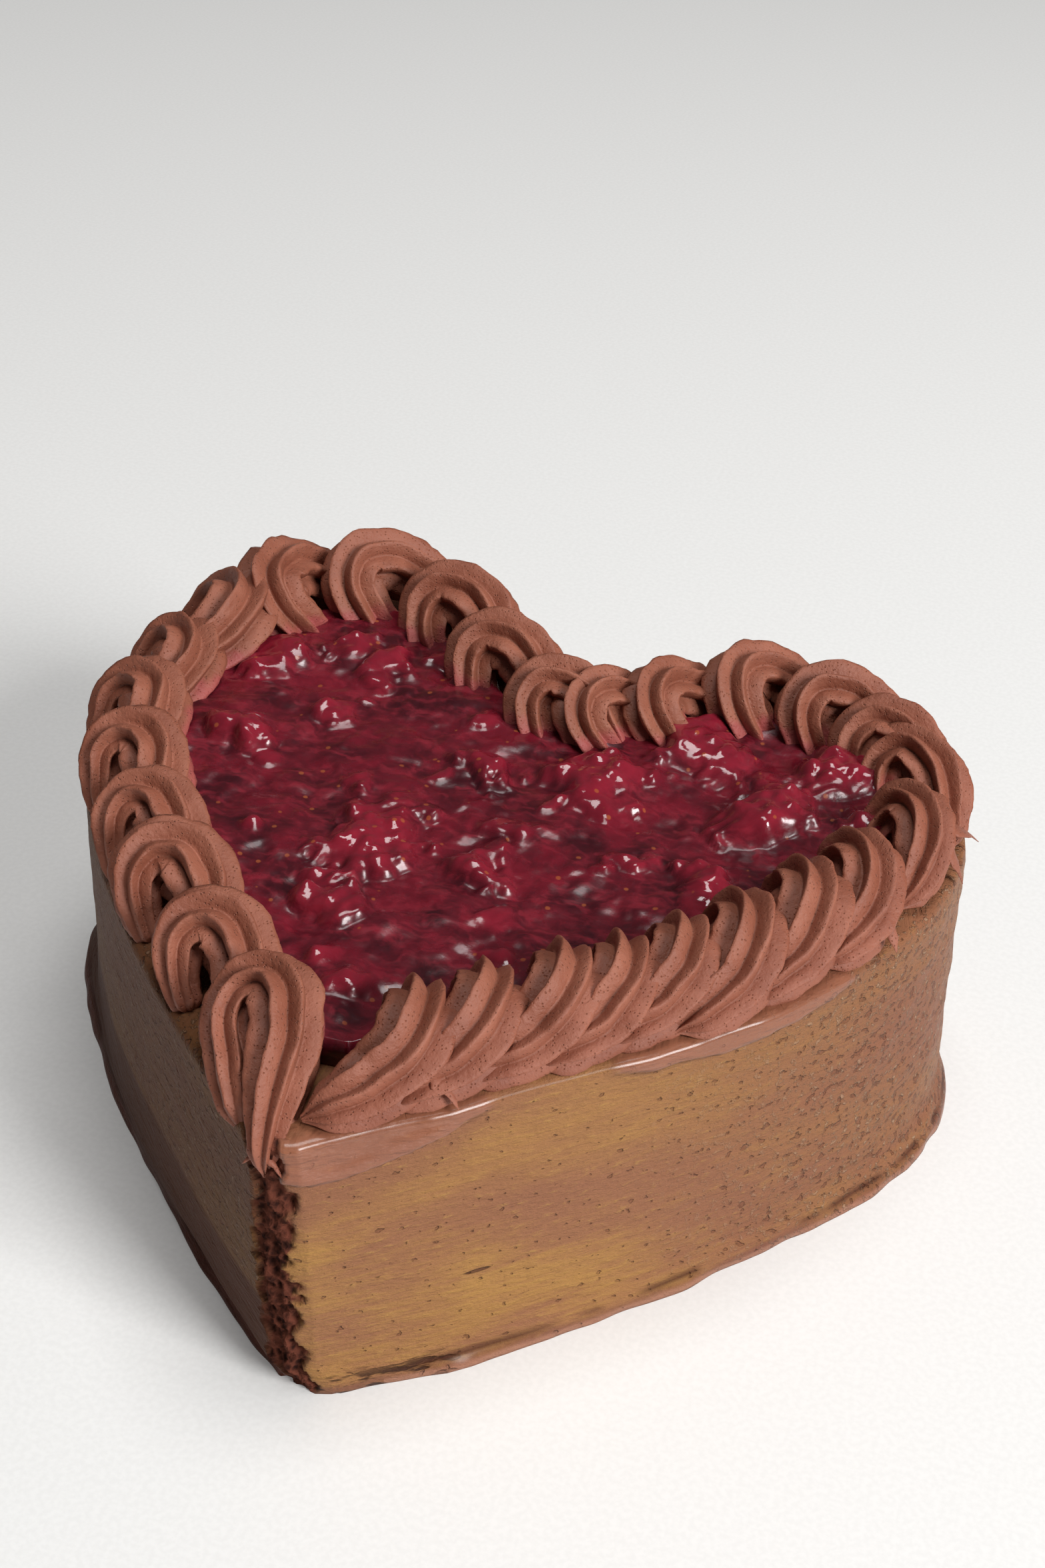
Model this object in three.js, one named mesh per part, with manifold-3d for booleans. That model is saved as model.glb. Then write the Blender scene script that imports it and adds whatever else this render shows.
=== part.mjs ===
// A heart-shaped cake: a glazed solid heart, a filling of berry compote on its top,
// and a border of piped buttercream shells round the rim.
// Millimetres, +Z up. The origin is on the base plane, in the middle of the heart.
// The heart's tip points to -Y, its cleft to +Y.
import * as THREE from "three";
import { mergeVertices } from "three/addons/utils/BufferGeometryUtils.js";
import Module from "manifold-3d";

// ---------------------------------------------------------------- driving sizes, mm
const CAKE_HEIGHT = 60; // base to the flat top that carries compote and cream
const CENTRE = new THREE.Vector2(0, 78); // the origin, measured from the tip
const GAP = 0.3; // left between neighbouring pieces
const SHELL_GAP = 0.5; // left round the ridges of a shell that lies on another
const BLUNT_TIP = 4.5; // half the width of the worn edge at the tip
const AXIS_Z = new THREE.Vector3(0, 0, 1);

// The heart's outline at the foot, where the glaze has run out, and at the top.
// wide is the widest point of a lobe, crown its farthest one.
const FOOT = {
  tip: [-1, 0],
  cleft: [8, 136],
  right: { wide: [93, 107], crown: [46, 155], lean: 33, reach: 38, pull: 29 },
  left: { wide: [-92, 102], crown: [-43, 167], lean: 35, reach: 36, pull: 24 },
};
const TOP = {
  tip: [-5, -2],
  cleft: [8, 133],
  right: { wide: [88, 112], crown: [45, 152], lean: 40, reach: 38, pull: 44 },
  left: { wide: [-84, 106], crown: [-42, 164], lean: 42, reach: 36, pull: 40 },
};
const ROUND = 0.55; // a Bezier handle's share of the radius in a quarter turn
const TIP_RISE = 0.35; // how far the worn edge's ends lie back, as a share of its half width
// The curve into the cleft: how far its handles reach back from the crown, down the
// lobe's depth, and up along that drop, each as a share.
const CLEFT = { back: 0.42, drop: 0.5, lift: 0.45 };
const SIDE_STEPS = 10; // points along a straight side
const LOBE_STEPS = 7; // points along each quarter of a lobe

// Heights of the wall's rings and, for each, the share of the way from the foot's
// outline to the top's, with the depth of the ragged lip and of the sagging collar.
const WALL = [
  { z: 0, share: 0, lip: 0.4, collar: 0 },
  { z: 1.6, share: 0, lip: 1, collar: 0 },
  { z: 3.6, share: 0.2, lip: 0.6, collar: 0 },
  { z: 6, share: 0.5, lip: 0, collar: 0 },
  { z: 30, share: 0.75, lip: 0, collar: 0 },
  { z: 50, share: 0.93, lip: 0, collar: 0 },
  { z: 53, share: 0.95, lip: 0, collar: 0.9 },
  { z: 57, share: 0.98, lip: 0, collar: 1 },
  { z: CAKE_HEIGHT, share: 1.1, lip: 0, collar: 0 },
];
const LIP_UNEVEN = [-1.5, 0.4]; // how far the lip's edge wanders in and out
// The folded glaze under the cream: how far it stands out, the least share of that, and
// how much a place must face the front for the fold to begin and to be full.
const COLLAR = { sag: 1.2, least: 0.2, begins: 0.6, full: 1.2 };
// The strip down the tip where the glaze is torn off: how far the tear's middle lies in
// front of the edge, the least and most that it reaches sideways from there, its depth
// as a share of that, and how far its points wander up and down.
const TEAR = { rings: 10, sides: 7, front: 1.8, least: 3, most: 7, depth: 0.7, uneven: 1 };

// Piped cream.
const BORDER_INSET = 11.5; // from the top's outline to the line the shells follow
const INSET_KEPT = 0.97; // least share of that inset at which a point of the line is kept
const STAR_POINTS = 7; // ridges that the nozzle leaves
const RIDGE = 0.18; // height of a ridge over the bead's mean radius, as a share of it
const GROOVE = 0.36; // depth of a groove under it
const RIDGE_TWIST = 0.6; // radians that the ridges wind round the bead on the way
const CORE_CLEARANCE = 0.6; // from a bead to the line that it curls round

// The way of the nozzle through one shell: forward along the border, left of it, up,
// and the bead's mean radius there. The bead stands up on one side, arches back and over
// to the other, and is drawn out forward and down into a tail. It curls round its core.
const LOBE_SHELL = {
  rings: 7,
  way: [
    { along: 2.8, left: -3.6, up: -1.5, bead: 3.8 },
    { along: -1.6, left: -4.4, up: 4.0, bead: 4.6 },
    { along: -4.6, left: -2.6, up: 8.6, bead: 5.3 },
    { along: -4.0, left: 1.2, up: 10.9, bead: 5.8 },
    { along: 0.4, left: 4.4, up: 10.6, bead: 5.9 },
    { along: 6.0, left: 5.6, up: 7.8, bead: 5.4 },
    { along: 11.6, left: 5.0, up: 4.2, bead: 4.2 },
    { along: 16.6, left: 3.8, up: 1.8, bead: 2.4 },
  ],
  core: [[-4, 0.6, 4.0], [9, 0.6, 0.6]],
};
const RIGHT_SHELL = {
  rings: 7,
  way: [
    { along: -1.0, left: -6.4, up: -1.5, bead: 4.0 },
    { along: -3.2, left: -6.0, up: 4.2, bead: 4.8 },
    { along: -4.2, left: -3.6, up: 8.4, bead: 5.6 },
    { along: -2.6, left: 0.4, up: 9.8, bead: 6.1 },
    { along: 1.2, left: 4.0, up: 7.8, bead: 6.1 },
    { along: 6.6, left: 6.2, up: 5.0, bead: 5.6 },
    { along: 13.2, left: 6.8, up: 3.2, bead: 4.5 },
    { along: 20.0, left: 6.2, up: 1.4, bead: 2.5 },
  ],
  core: [[-4.5, -1.2, 2.0], [12, 1.2, -2.5]],
};
const LEFT_SHELL = {
  rings: 7,
  way: [
    { along: 5.0, left: -8.4, up: -1.0, bead: 2.6 },
    { along: 1.4, left: -8.6, up: 2.8, bead: 3.4 },
    { along: -2.8, left: -7.2, up: 7.6, bead: 4.3 },
    { along: -4.0, left: -3.2, up: 9.8, bead: 5.6 },
    { along: -1.2, left: 0.8, up: 9.6, bead: 6.2 },
    { along: 5.0, left: 2.0, up: 7.2, bead: 6.0 },
    { along: 11.8, left: 0.0, up: 4.6, bead: 4.8 },
    { along: 17.0, left: -3.0, up: 1.8, bead: 2.8 },
  ],
  core: [[-4.2, -4.0, 3.6], [12, -4.2, -1.5]],
};

// The last shell, on the tip. Both its legs run down over the edge. at is measured from
// the tip, and heading is in degrees.
const TIP_SHELL = {
  rings: 12,
  at: [-14, 18],
  heading: -70,
  way: [
    { along: 15, left: -2.8, up: -1.6, bead: 3.2 },
    { along: 7, left: -4.6, up: 3.2, bead: 4.2 },
    { along: 0, left: -5.8, up: 6.8, bead: 4.2 },
    { along: -4.2, left: -3.6, up: 9.6, bead: 4.7 },
    { along: -4.6, left: 0.6, up: 10.9, bead: 5.4 },
    { along: -0.5, left: 3.6, up: 10.2, bead: 5.7 },
    { along: 6.5, left: 3.6, up: 7.2, bead: 5.5 },
    { along: 13.5, left: 2.2, up: 2.8, bead: 4.6 },
    { along: 18.8, left: 1.0, up: -2.2, bead: 3.1 },
    { along: 20.6, left: 1.0, up: -7.6, bead: 2.0 },
  ],
  core: [[-5, -1, 4.5], [17, -0.6, -3]],
};

const CREST = 4; // the point of a shell's way that is the middle of its arch

// Two chains start side by side on the left lobe. One runs round the lobes and down
// the right side, the other down the left side, and a long shell ends both on the tip.
// start is a share of the border's length, counted from the tip up the right side, and
// shells gives each kind of shell with how many of it follow one another.
const CHAINS = [
  {
    name: "shell_right", start: 0.645, turn: -1,
    shells: [[LOBE_SHELL, 12], [RIGHT_SHELL, 8]],
    steps: [0, 19, 20, 20, 19, 10, 14, 18, 16, 14, 9, 18, 18, 15, 15, 13, 12, 11, 14, 12],
    sizes: [1.18, 1.14, 1.1, 1.02, 1, 0.95, 1, 1.05, 1.02, 1, 0.92, 0.92, 0.95, 0.97, 0.97,
      0.95, 0.95, 0.97, 1, 1],
  },
  {
    name: "shell_left", start: 0.682, turn: 1,
    shells: [[LEFT_SHELL, 7]],
    steps: [0, 17, 17, 17, 20, 17, 21],
    sizes: [1.16, 1.04, 0.98, 1, 1, 1, 1.02],
  },
];
const SHELL_UNEVEN = { yaw: 0.14, size: 0.03, shift: 0.6 };

// Points of the thin flakes of cream that stand out under the border, measured from
// the tip. Each flake grows out of the nearest shell's crest.
const FLAKES = [
  { point: [89.5, 115, 63], width: 5 },
  { point: [80.5, 79, 61.5], width: 5 },
  { point: [88.5, 105, 60], width: 4.6 },
  { point: [20.7, 15.5, 61], width: 4 },
];
const FLAKE_THICKNESS = 0.4; // as a share of its width
const FLAKE_SIDES = 4;

// Berry compote.
const COMPOTE_INSET = 3; // from the border's line to the compote's edge
const COMPOTE_MIDDLE = new THREE.Vector2(0, 85); // measured from the tip
const COMPOTE_LEVEL = 6; // over the cake's top
const COMPOTE_POINTS = 40; // round its edge
const COMPOTE_RINGS = [0.8, 0.6, 0.4, 0.2]; // shares of the way to the edge
const SWELL = { depth: 0.8, across: 9, along: 8 }; // how the level dips
const BERRY_FLATNESS = 0.7; // height of a berry over its width
const BERRY_FLOOR = 3; // a berry's flat underside, over the cake's top
// The large berries that stand out: place from the tip, radius, and rise over the level.
const LARGE_BERRIES = [
  { at: [18, 104], radius: 9, rise: 2.8 },
  { at: [-16, 72], radius: 10, rise: 3 },
  { at: [-4, 102], radius: 5.5, rise: 3 },
  { at: [-58, 124], radius: 7.5, rise: 3.6 },
  { at: [50, 104], radius: 8, rise: 4 },
  { at: [-52, 95], radius: 5.5, rise: 3 },
  { at: [38, 119], radius: 7, rise: 3 },
  { at: [-17, 53], radius: 5.5, rise: 2.6 },
  { at: [5, 71], radius: 6, rise: 2.6 },
  { at: [44, 82], radius: 5, rise: 2.6 },
  { at: [-34, 130], radius: 6, rise: 2.4 },
  { at: [30, 124], radius: 8, rise: 3.4 },
  { at: [62, 124], radius: 8, rise: 3.6 },
  { at: [74, 108], radius: 7, rise: 3 },
];
// The small ones between them: their radii, their rise as a share of the radius, and how
// far out they lie, as a share of the compote's area.
const SMALL_BERRIES = { count: 2, smallest: 3.2, largest: 4.6, rise: 0.4, spread: [0.05, 0.6] };
const BERRY_UNEVEN = { long: [0.9, 1.15], broad: [0.8, 1] }; // stretch of a berry
const ROOM_DEPTH = 1; // how far the compote's room reaches into the cake
const SEEDS = { lip: 11, tear: 5, shells: 23, berries: 42 };

// ---------------------------------------------------------------- chance, from one seed
function randomSource(seed) {
  let state = seed;
  return (low, high) => {
    state = (Math.imul(state, 1664525) + 1013904223) >>> 0;
    return low + ((high - low) * state) / 4294967296;
  };
}

// ---------------------------------------------------------------- cutting and joining
const wasm = await Module();
wasm.setup();

function solidOf(geometry) {
  const bare = geometry.clone();
  bare.deleteAttribute("normal");
  bare.deleteAttribute("uv");
  const merged = mergeVertices(bare, 1e-4);
  return new wasm.Manifold(
    new wasm.Mesh({
      numProp: 3,
      vertProperties: merged.attributes.position.array,
      triVerts: new Uint32Array(merged.index.array),
    }),
  );
}

function geometryOf(solid) {
  const mesh = solid.getMesh();
  const geometry = new THREE.BufferGeometry();
  geometry.setAttribute("position", new THREE.BufferAttribute(mesh.vertProperties, 3));
  geometry.setIndex(new THREE.BufferAttribute(mesh.triVerts, 1));
  geometry.computeVertexNormals();
  return geometry;
}

function largestBody(solid) {
  const bodies = solid.decompose();
  return bodies.reduce((best, body) => (body.volume() > best.volume() ? body : best));
}

// Whether the line from a to c passes outside the one from b to d, in a face abcd.
function bulges(a, b, c, d) {
  const first = c.clone().sub(a);
  const second = d.clone().sub(b);
  const between = a.clone().add(c).sub(b).sub(d);
  return between.dot(first.cross(second)) > 0;
}

// A closed skin over rings of points that all hold the same number of points. Rings
// run counter-clockwise seen against the direction in which they follow each other.
// Each face between two rings is cut in two so that it bulges.
function skinOf(rings, firstCap, lastCap) {
  const around = rings[0].length;
  const points = rings.flat();
  const faces = [];
  for (let ring = 0; ring < rings.length - 1; ring++)
    for (let k = 0; k < around; k++) {
      const next = (k + 1) % around;
      const a = ring * around + k;
      const b = ring * around + next;
      const [c, d] = [b + around, a + around];
      if (bulges(points[a], points[b], points[c], points[d])) faces.push(a, b, c, a, c, d);
      else faces.push(a, b, d, b, c, d);
    }
  const last = (rings.length - 1) * around;
  for (const [i, j, k] of firstCap(rings[0], points)) faces.push(i, k, j);
  for (const [i, j, k] of lastCap(rings.at(-1), points))
    faces.push(...[i, j, k].map((at) => (at < around ? at + last : at)));
  const geometry = new THREE.BufferGeometry().setFromPoints(points);
  geometry.setIndex(faces);
  return geometry;
}

// A flat end, cut into triangles.
function flatCap(ring) {
  return THREE.ShapeUtils.triangulateShape(ring, []);
}

// ---------------------------------------------------------------- the heart's outline
// One side of a heart, from the blunt tip round the lobe to the cleft. sign is 1 on
// the right and -1 on the left.
function heartSide({ tip, cleft }, side, sign) {
  const lean = THREE.MathUtils.degToRad(side.lean);
  const [wideX, wideY] = side.wide;
  const [crownX, crownY] = side.crown;
  const start = new THREE.Vector2(tip[0] + sign * BLUNT_TIP, tip[1] + BLUNT_TIP * TIP_RISE);
  const from = new THREE.Vector2(
    start.x + sign * side.reach * Math.cos(lean),
    start.y + side.reach * Math.sin(lean),
  );
  const rise = (crownY - wideY) * ROUND;
  const run = (crownX - wideX) * ROUND;
  const back = (cleft[0] - crownX) * CLEFT.back;
  const drop = (crownY - cleft[1]) * CLEFT.drop;
  const vector = (x, y) => new THREE.Vector2(x, y);
  return [
    [new THREE.CubicBezierCurve(start, from, vector(wideX, wideY - side.pull),
      vector(wideX, wideY)), SIDE_STEPS],
    [new THREE.CubicBezierCurve(vector(wideX, wideY), vector(wideX, wideY + rise),
      vector(crownX - run, crownY), vector(crownX, crownY)), LOBE_STEPS],
    [new THREE.CubicBezierCurve(vector(crownX, crownY), vector(crownX + back, crownY),
      vector(cleft[0] + sign * drop, cleft[1] + drop * CLEFT.lift), vector(...cleft)),
    LOBE_STEPS],
  ];
}

// The whole outline, counter-clockwise from the tip, measured from the origin.
function heartOutline(heart) {
  const points = [new THREE.Vector2(heart.tip[0], heart.tip[1])];
  for (const [curve, steps] of heartSide(heart, heart.right, 1))
    points.push(...curve.getPoints(steps).slice(0, -1));
  points.push(new THREE.Vector2(...heart.cleft));
  const left = [];
  for (const [curve, steps] of heartSide(heart, heart.left, -1))
    left.push(...curve.getPoints(steps).slice(0, -1));
  points.push(...left.reverse());
  return points.map((p) => p.clone().sub(CENTRE));
}

function outwardNormals(outline) {
  return outline.map((_, k) => {
    const before = outline[(k + outline.length - 1) % outline.length];
    const after = outline[(k + 1) % outline.length];
    return new THREE.Vector2(after.y - before.y, before.x - after.x).normalize();
  });
}

// ---------------------------------------------------------------- cake
const footOutline = heartOutline(FOOT);
const topOutline = heartOutline(TOP);

function cakeSolid(grow) {
  const chance = randomSource(SEEDS.lip);
  const normals = outwardNormals(topOutline);
  const lip = topOutline.map(() => chance(...LIP_UNEVEN));
  const sag = topOutline.map((p, k) => {
    const facing = normals[k].x - normals[k].y;
    const share = THREE.MathUtils.smoothstep(facing, COLLAR.begins, COLLAR.full);
    return share * COLLAR.sag * chance(COLLAR.least, 1);
  });
  const rings = WALL.map((level) =>
    topOutline.map((top, k) => {
      const flat = footOutline[k].clone().lerp(top, level.share);
      flat.addScaledVector(normals[k], grow + level.lip * lip[k] + level.collar * sag[k]);
      return new THREE.Vector3(flat.x, flat.y, level.z);
    }),
  );
  return solidOf(skinOf(rings, flatCap, flatCap));
}

// A ragged column stands in front of the tip and takes the glaze off its edge.
function tornEdge(cake) {
  const chance = randomSource(SEEDS.tear);
  const rings = [];
  for (let ring = 0; ring < TEAR.rings; ring++) {
    const share = ring / (TEAR.rings - 1);
    const x = THREE.MathUtils.lerp(FOOT.tip[0], TOP.tip[0], share) - CENTRE.x;
    const y = THREE.MathUtils.lerp(FOOT.tip[1], TOP.tip[1], share) - CENTRE.y - TEAR.front;
    const points = [];
    for (let k = 0; k < TEAR.sides; k++) {
      const angle = (2 * Math.PI * k) / TEAR.sides;
      const reach = chance(TEAR.least, TEAR.most);
      const height = share * CAKE_HEIGHT + chance(-TEAR.uneven, TEAR.uneven);
      points.push(new THREE.Vector3(
        x + reach * Math.cos(angle),
        y + reach * Math.sin(angle) * TEAR.depth,
        height,
      ));
    }
    rings.push(points);
  }
  return largestBody(cake.subtract(solidOf(skinOf(rings, pointedCap, pointedCap))));
}

// ---------------------------------------------------------------- cream border
// The closed line that the shells follow, smoothed where the outline is sharp.
function borderLine() {
  const normals = outwardNormals(topOutline);
  const inset = topOutline
    .map((p, k) => p.clone().addScaledVector(normals[k], -BORDER_INSET))
    .filter((p) => topOutline.every((q) => q.distanceTo(p) > BORDER_INSET * INSET_KEPT));
  return new THREE.CatmullRomCurve3(
    inset.map((p) => new THREE.Vector3(p.x, p.y, CAKE_HEIGHT)),
    true,
    "centripetal",
  );
}

// One bead in its own frame: X forward along the border, Y to the left, Z up. sides is
// the number of points round it: with two for each ridge, every other one lies in a
// groove, and with one the bead is the plain hull of its ridges.
function beadGeometry(shell, sides, grow) {
  const way = new THREE.CatmullRomCurve3(
    shell.way.map((p) => new THREE.Vector3(p.along, p.left, p.up)),
  );
  const girth = new THREE.CatmullRomCurve3(
    shell.way.map((p) => new THREE.Vector3(p.bead, 0, 0)),
  );
  const core = new THREE.Line3(...shell.core.map((end) => new THREE.Vector3(...end)));
  let across = new THREE.Vector3().crossVectors(way.getTangent(0), AXIS_Z);
  const rings = [];
  for (let ring = 0; ring < shell.rings; ring++) {
    const t = ring / (shell.rings - 1);
    const tangent = way.getTangent(t);
    const centre = way.getPoint(t).addScaledVector(tangent, (2 * t - 1) * grow);
    const bead = girth.getPoint(t).x;
    across = across.clone().addScaledVector(tangent, -across.dot(tangent)).normalize();
    const raised = new THREE.Vector3().crossVectors(tangent, across);
    const inward = core.closestPointToPoint(centre, true, new THREE.Vector3()).sub(centre);
    inward.addScaledVector(tangent, -inward.dot(tangent));
    const room = inward.length() - CORE_CLEARANCE + grow;
    inward.normalize();
    const tuck = 1 - Math.min(1, room / (bead * (1 + RIDGE) + grow));
    const points = [];
    for (let k = 0; k < sides; k++) {
      const onRidge = sides === STAR_POINTS || k % 2 === 0;
      const angle = (2 * Math.PI * k) / sides + RIDGE_TWIST * t;
      const radius = bead * (onRidge ? 1 + RIDGE : 1 - GROOVE) + grow;
      const spoke = across.clone().multiplyScalar(radius * Math.cos(angle));
      spoke.addScaledVector(raised, radius * Math.sin(angle));
      const depth = Math.max(0, spoke.dot(inward));
      spoke.addScaledVector(inward, -depth * tuck);
      points.push(spoke.add(centre));
    }
    rings.push(points);
  }
  return skinOf(rings, pointedCap, pointedCap);
}

// An end closed by a fan of triangles to the middle of its ring.
function pointedCap(ring, points) {
  const middle = new THREE.Vector3();
  for (const p of ring) middle.addScaledVector(p, 1 / ring.length);
  points.push(middle);
  const tip = points.length - 1;
  return ring.map((_, k) => [k, (k + 1) % ring.length, tip]);
}

function placedShell(place, sides, grow) {
  const geometry = beadGeometry(place.shell, sides, grow);
  geometry.scale(place.size, place.size, place.size);
  geometry.rotateZ(place.heading);
  geometry.translate(place.at.x, place.at.y, CAKE_HEIGHT);
  return solidOf(geometry);
}

function shellPlaces() {
  const chance = randomSource(SEEDS.shells);
  const line = borderLine();
  const length = line.getLength();
  const places = [];
  for (const chain of CHAINS) {
    const kinds = chain.shells.flatMap(([kind, count]) => Array(count).fill(kind));
    let share = chain.start;
    chain.steps.forEach((step, k) => {
      share = (share + (chain.turn * step) / length + 1) % 1;
      const ahead = line.getTangentAt(share).multiplyScalar(chain.turn);
      const size = chain.sizes[k] + chance(-SHELL_UNEVEN.size, SHELL_UNEVEN.size);
      const shift = chance(-SHELL_UNEVEN.shift, SHELL_UNEVEN.shift);
      const at = line.getPointAt(share);
      at.x -= ahead.y * shift;
      at.y += ahead.x * shift;
      places.push({
        name: `${chain.name}_${String(k + 1).padStart(2, "0")}`,
        at,
        heading: Math.atan2(ahead.y, ahead.x) + chance(-SHELL_UNEVEN.yaw, SHELL_UNEVEN.yaw),
        size,
        shell: kinds[k],
      });
    });
  }
  places.push({
    name: "shell_tip",
    at: new THREE.Vector3(TIP_SHELL.at[0] - CENTRE.x, TIP_SHELL.at[1] - CENTRE.y, 0),
    heading: THREE.MathUtils.degToRad(TIP_SHELL.heading),
    size: 1,
    shell: TIP_SHELL,
  });
  return places;
}

// Where a shell's bead is highest at the middle of its arch.
function crestOf(place) {
  const { along, left, up } = place.shell.way[CREST];
  return new THREE.Vector3(along, left, up)
    .multiplyScalar(place.size)
    .applyAxisAngle(AXIS_Z, place.heading)
    .add(new THREE.Vector3(place.at.x, place.at.y, CAKE_HEIGHT));
}

// A flat pyramid from inside a shell's crest out to the flake's point.
function flakeSolid({ point, width }, root, grow) {
  const tip = new THREE.Vector3(point[0] - CENTRE.x, point[1] - CENTRE.y, point[2]);
  const length = root.distanceTo(tip) + 2 * grow;
  const flake = new THREE.ConeGeometry(width + 2 * grow, length, FLAKE_SIDES);
  flake.scale(1, 1, FLAKE_THICKNESS);
  flake.translate(0, length / 2, 0);
  const turn = new THREE.Quaternion().setFromUnitVectors(
    new THREE.Vector3(0, 1, 0),
    tip.sub(root).normalize(),
  );
  flake.applyQuaternion(turn);
  flake.translate(root.x, root.y, root.z);
  return solidOf(flake);
}

// Each shell lies on the cake and under the shells that were piped after it.
function shellSolids(taken) {
  const places = shellPlaces();
  const crests = places.map(crestOf);
  const rooms = places.map((place) => placedShell(place, STAR_POINTS, SHELL_GAP));
  const bodies = places.map((place) => placedShell(place, 2 * STAR_POINTS, 0));
  for (const flake of FLAKES) {
    const [x, y] = [flake.point[0] - CENTRE.x, flake.point[1] - CENTRE.y];
    const reach = crests.map((crest) => Math.hypot(crest.x - x, crest.y - y));
    const nearest = reach.indexOf(Math.min(...reach));
    bodies[nearest] = bodies[nearest].add(flakeSolid(flake, crests[nearest], 0));
    rooms[nearest] = rooms[nearest].add(flakeSolid(flake, crests[nearest], SHELL_GAP));
  }
  return places.map((place, k) => {
    let body = bodies[k].subtract(taken);
    for (const room of rooms.slice(k + 1)) body = body.subtract(room);
    return { name: place.name, solid: largestBody(body) };
  });
}

// ---------------------------------------------------------------- compote
// The level of the compote at a place measured from the origin. It is highest at the
// edge and dips in hollows further in.
function compoteHeight(x, y) {
  const wave = Math.sin(x / SWELL.across + y / (2 * SWELL.along));
  const crosswave = Math.cos(y / SWELL.along - x / (2 * SWELL.across));
  return CAKE_HEIGHT + COMPOTE_LEVEL - SWELL.depth * (1 - wave * crosswave);
}

function berrySolid(x, y, radius, rise, chance) {
  const berry = new THREE.IcosahedronGeometry(radius, 1);
  berry.scale(chance(...BERRY_UNEVEN.long), chance(...BERRY_UNEVEN.broad), BERRY_FLATNESS);
  berry.rotateZ(chance(0, Math.PI));
  berry.translate(x, y, CAKE_HEIGHT + COMPOTE_LEVEL + rise - BERRY_FLATNESS * radius);
  const corners = berry.attributes.position;
  const floor = CAKE_HEIGHT + BERRY_FLOOR;
  for (let k = 0; k < corners.count; k++) corners.setZ(k, Math.max(floor, corners.getZ(k)));
  return solidOf(berry);
}

function compoteEdge(grow) {
  const line = borderLine().getSpacedPoints(COMPOTE_POINTS).slice(0, -1);
  const normals = outwardNormals(line);
  return line.map((p, k) =>
    new THREE.Vector2(p.x, p.y).addScaledVector(normals[k], grow - COMPOTE_INSET));
}

// The large berries, then the small ones strewn between them.
function berrySolids(grow) {
  const chance = randomSource(SEEDS.berries);
  const middle = COMPOTE_MIDDLE.clone().sub(CENTRE);
  const solids = LARGE_BERRIES.map(({ at, radius, rise }) =>
    berrySolid(at[0] - CENTRE.x, at[1] - CENTRE.y, radius + grow, rise + grow, chance));
  const edge = compoteEdge(0);
  for (let k = 0; k < SMALL_BERRIES.count; k++) {
    const spot = edge[Math.floor(chance(0, COMPOTE_POINTS))];
    const out = Math.sqrt(chance(...SMALL_BERRIES.spread));
    const { x, y } = middle.clone().lerp(spot, out);
    const radius = chance(SMALL_BERRIES.smallest, SMALL_BERRIES.largest);
    const rise = SMALL_BERRIES.rise * radius;
    solids.push(berrySolid(x, y, radius + grow, rise + grow, chance));
  }
  return solids;
}

// The compote fills the space inside the border, and its berries stand out of it.
function compoteSolid() {
  const middle = COMPOTE_MIDDLE.clone().sub(CENTRE);
  const edge = compoteEdge(0);
  const ringAt = (share) =>
    edge.map((p) => {
      const { x, y } = middle.clone().lerp(p, share);
      return new THREE.Vector3(x, y, compoteHeight(x, y));
    });
  const edgeAt = (z) => edge.map((p) => new THREE.Vector3(p.x, p.y, z));
  const rings = [
    edgeAt(CAKE_HEIGHT + GAP),
    edgeAt(CAKE_HEIGHT + COMPOTE_LEVEL),
    ...COMPOTE_RINGS.map(ringAt),
  ];
  const bed = solidOf(skinOf(rings, flatCap, pointedCap));
  return berrySolids(0).reduce((all, berry) => all.add(berry), bed);
}

// What the compote takes from the shells that rest on its edge.
function compoteRoom() {
  const ringAt = (z) => compoteEdge(GAP).map((p) => new THREE.Vector3(p.x, p.y, z));
  const floor = CAKE_HEIGHT - ROOM_DEPTH;
  const level = CAKE_HEIGHT + COMPOTE_LEVEL + GAP;
  const bed = solidOf(skinOf([ringAt(floor), ringAt(level)], flatCap, flatCap));
  return berrySolids(GAP).reduce((all, berry) => all.add(berry), bed);
}

// ---------------------------------------------------------------- the object
const cream = { color: 0x9a6048, roughness: 0.55, metalness: 0 };
const glaze = { color: 0x6b4030, roughness: 0.3, metalness: 0 };
const berries = { color: 0x5a0f1c, roughness: 0.15, metalness: 0 };

const heartCake = new THREE.Group();
function addPiece(name, solid, look) {
  const mesh = new THREE.Mesh(geometryOf(solid), new THREE.MeshStandardMaterial(look));
  mesh.name = name;
  heartCake.add(mesh);
}

addPiece("cake", tornEdge(cakeSolid(0)), glaze);
addPiece("compote", compoteSolid(), berries);
for (const shell of shellSolids(cakeSolid(GAP).add(compoteRoom())))
  addPiece(shell.name, shell.solid, cream);

export default heartCake;
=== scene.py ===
import math

import bmesh
import bpy
import numpy as np
from mathutils import Matrix, Vector


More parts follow.
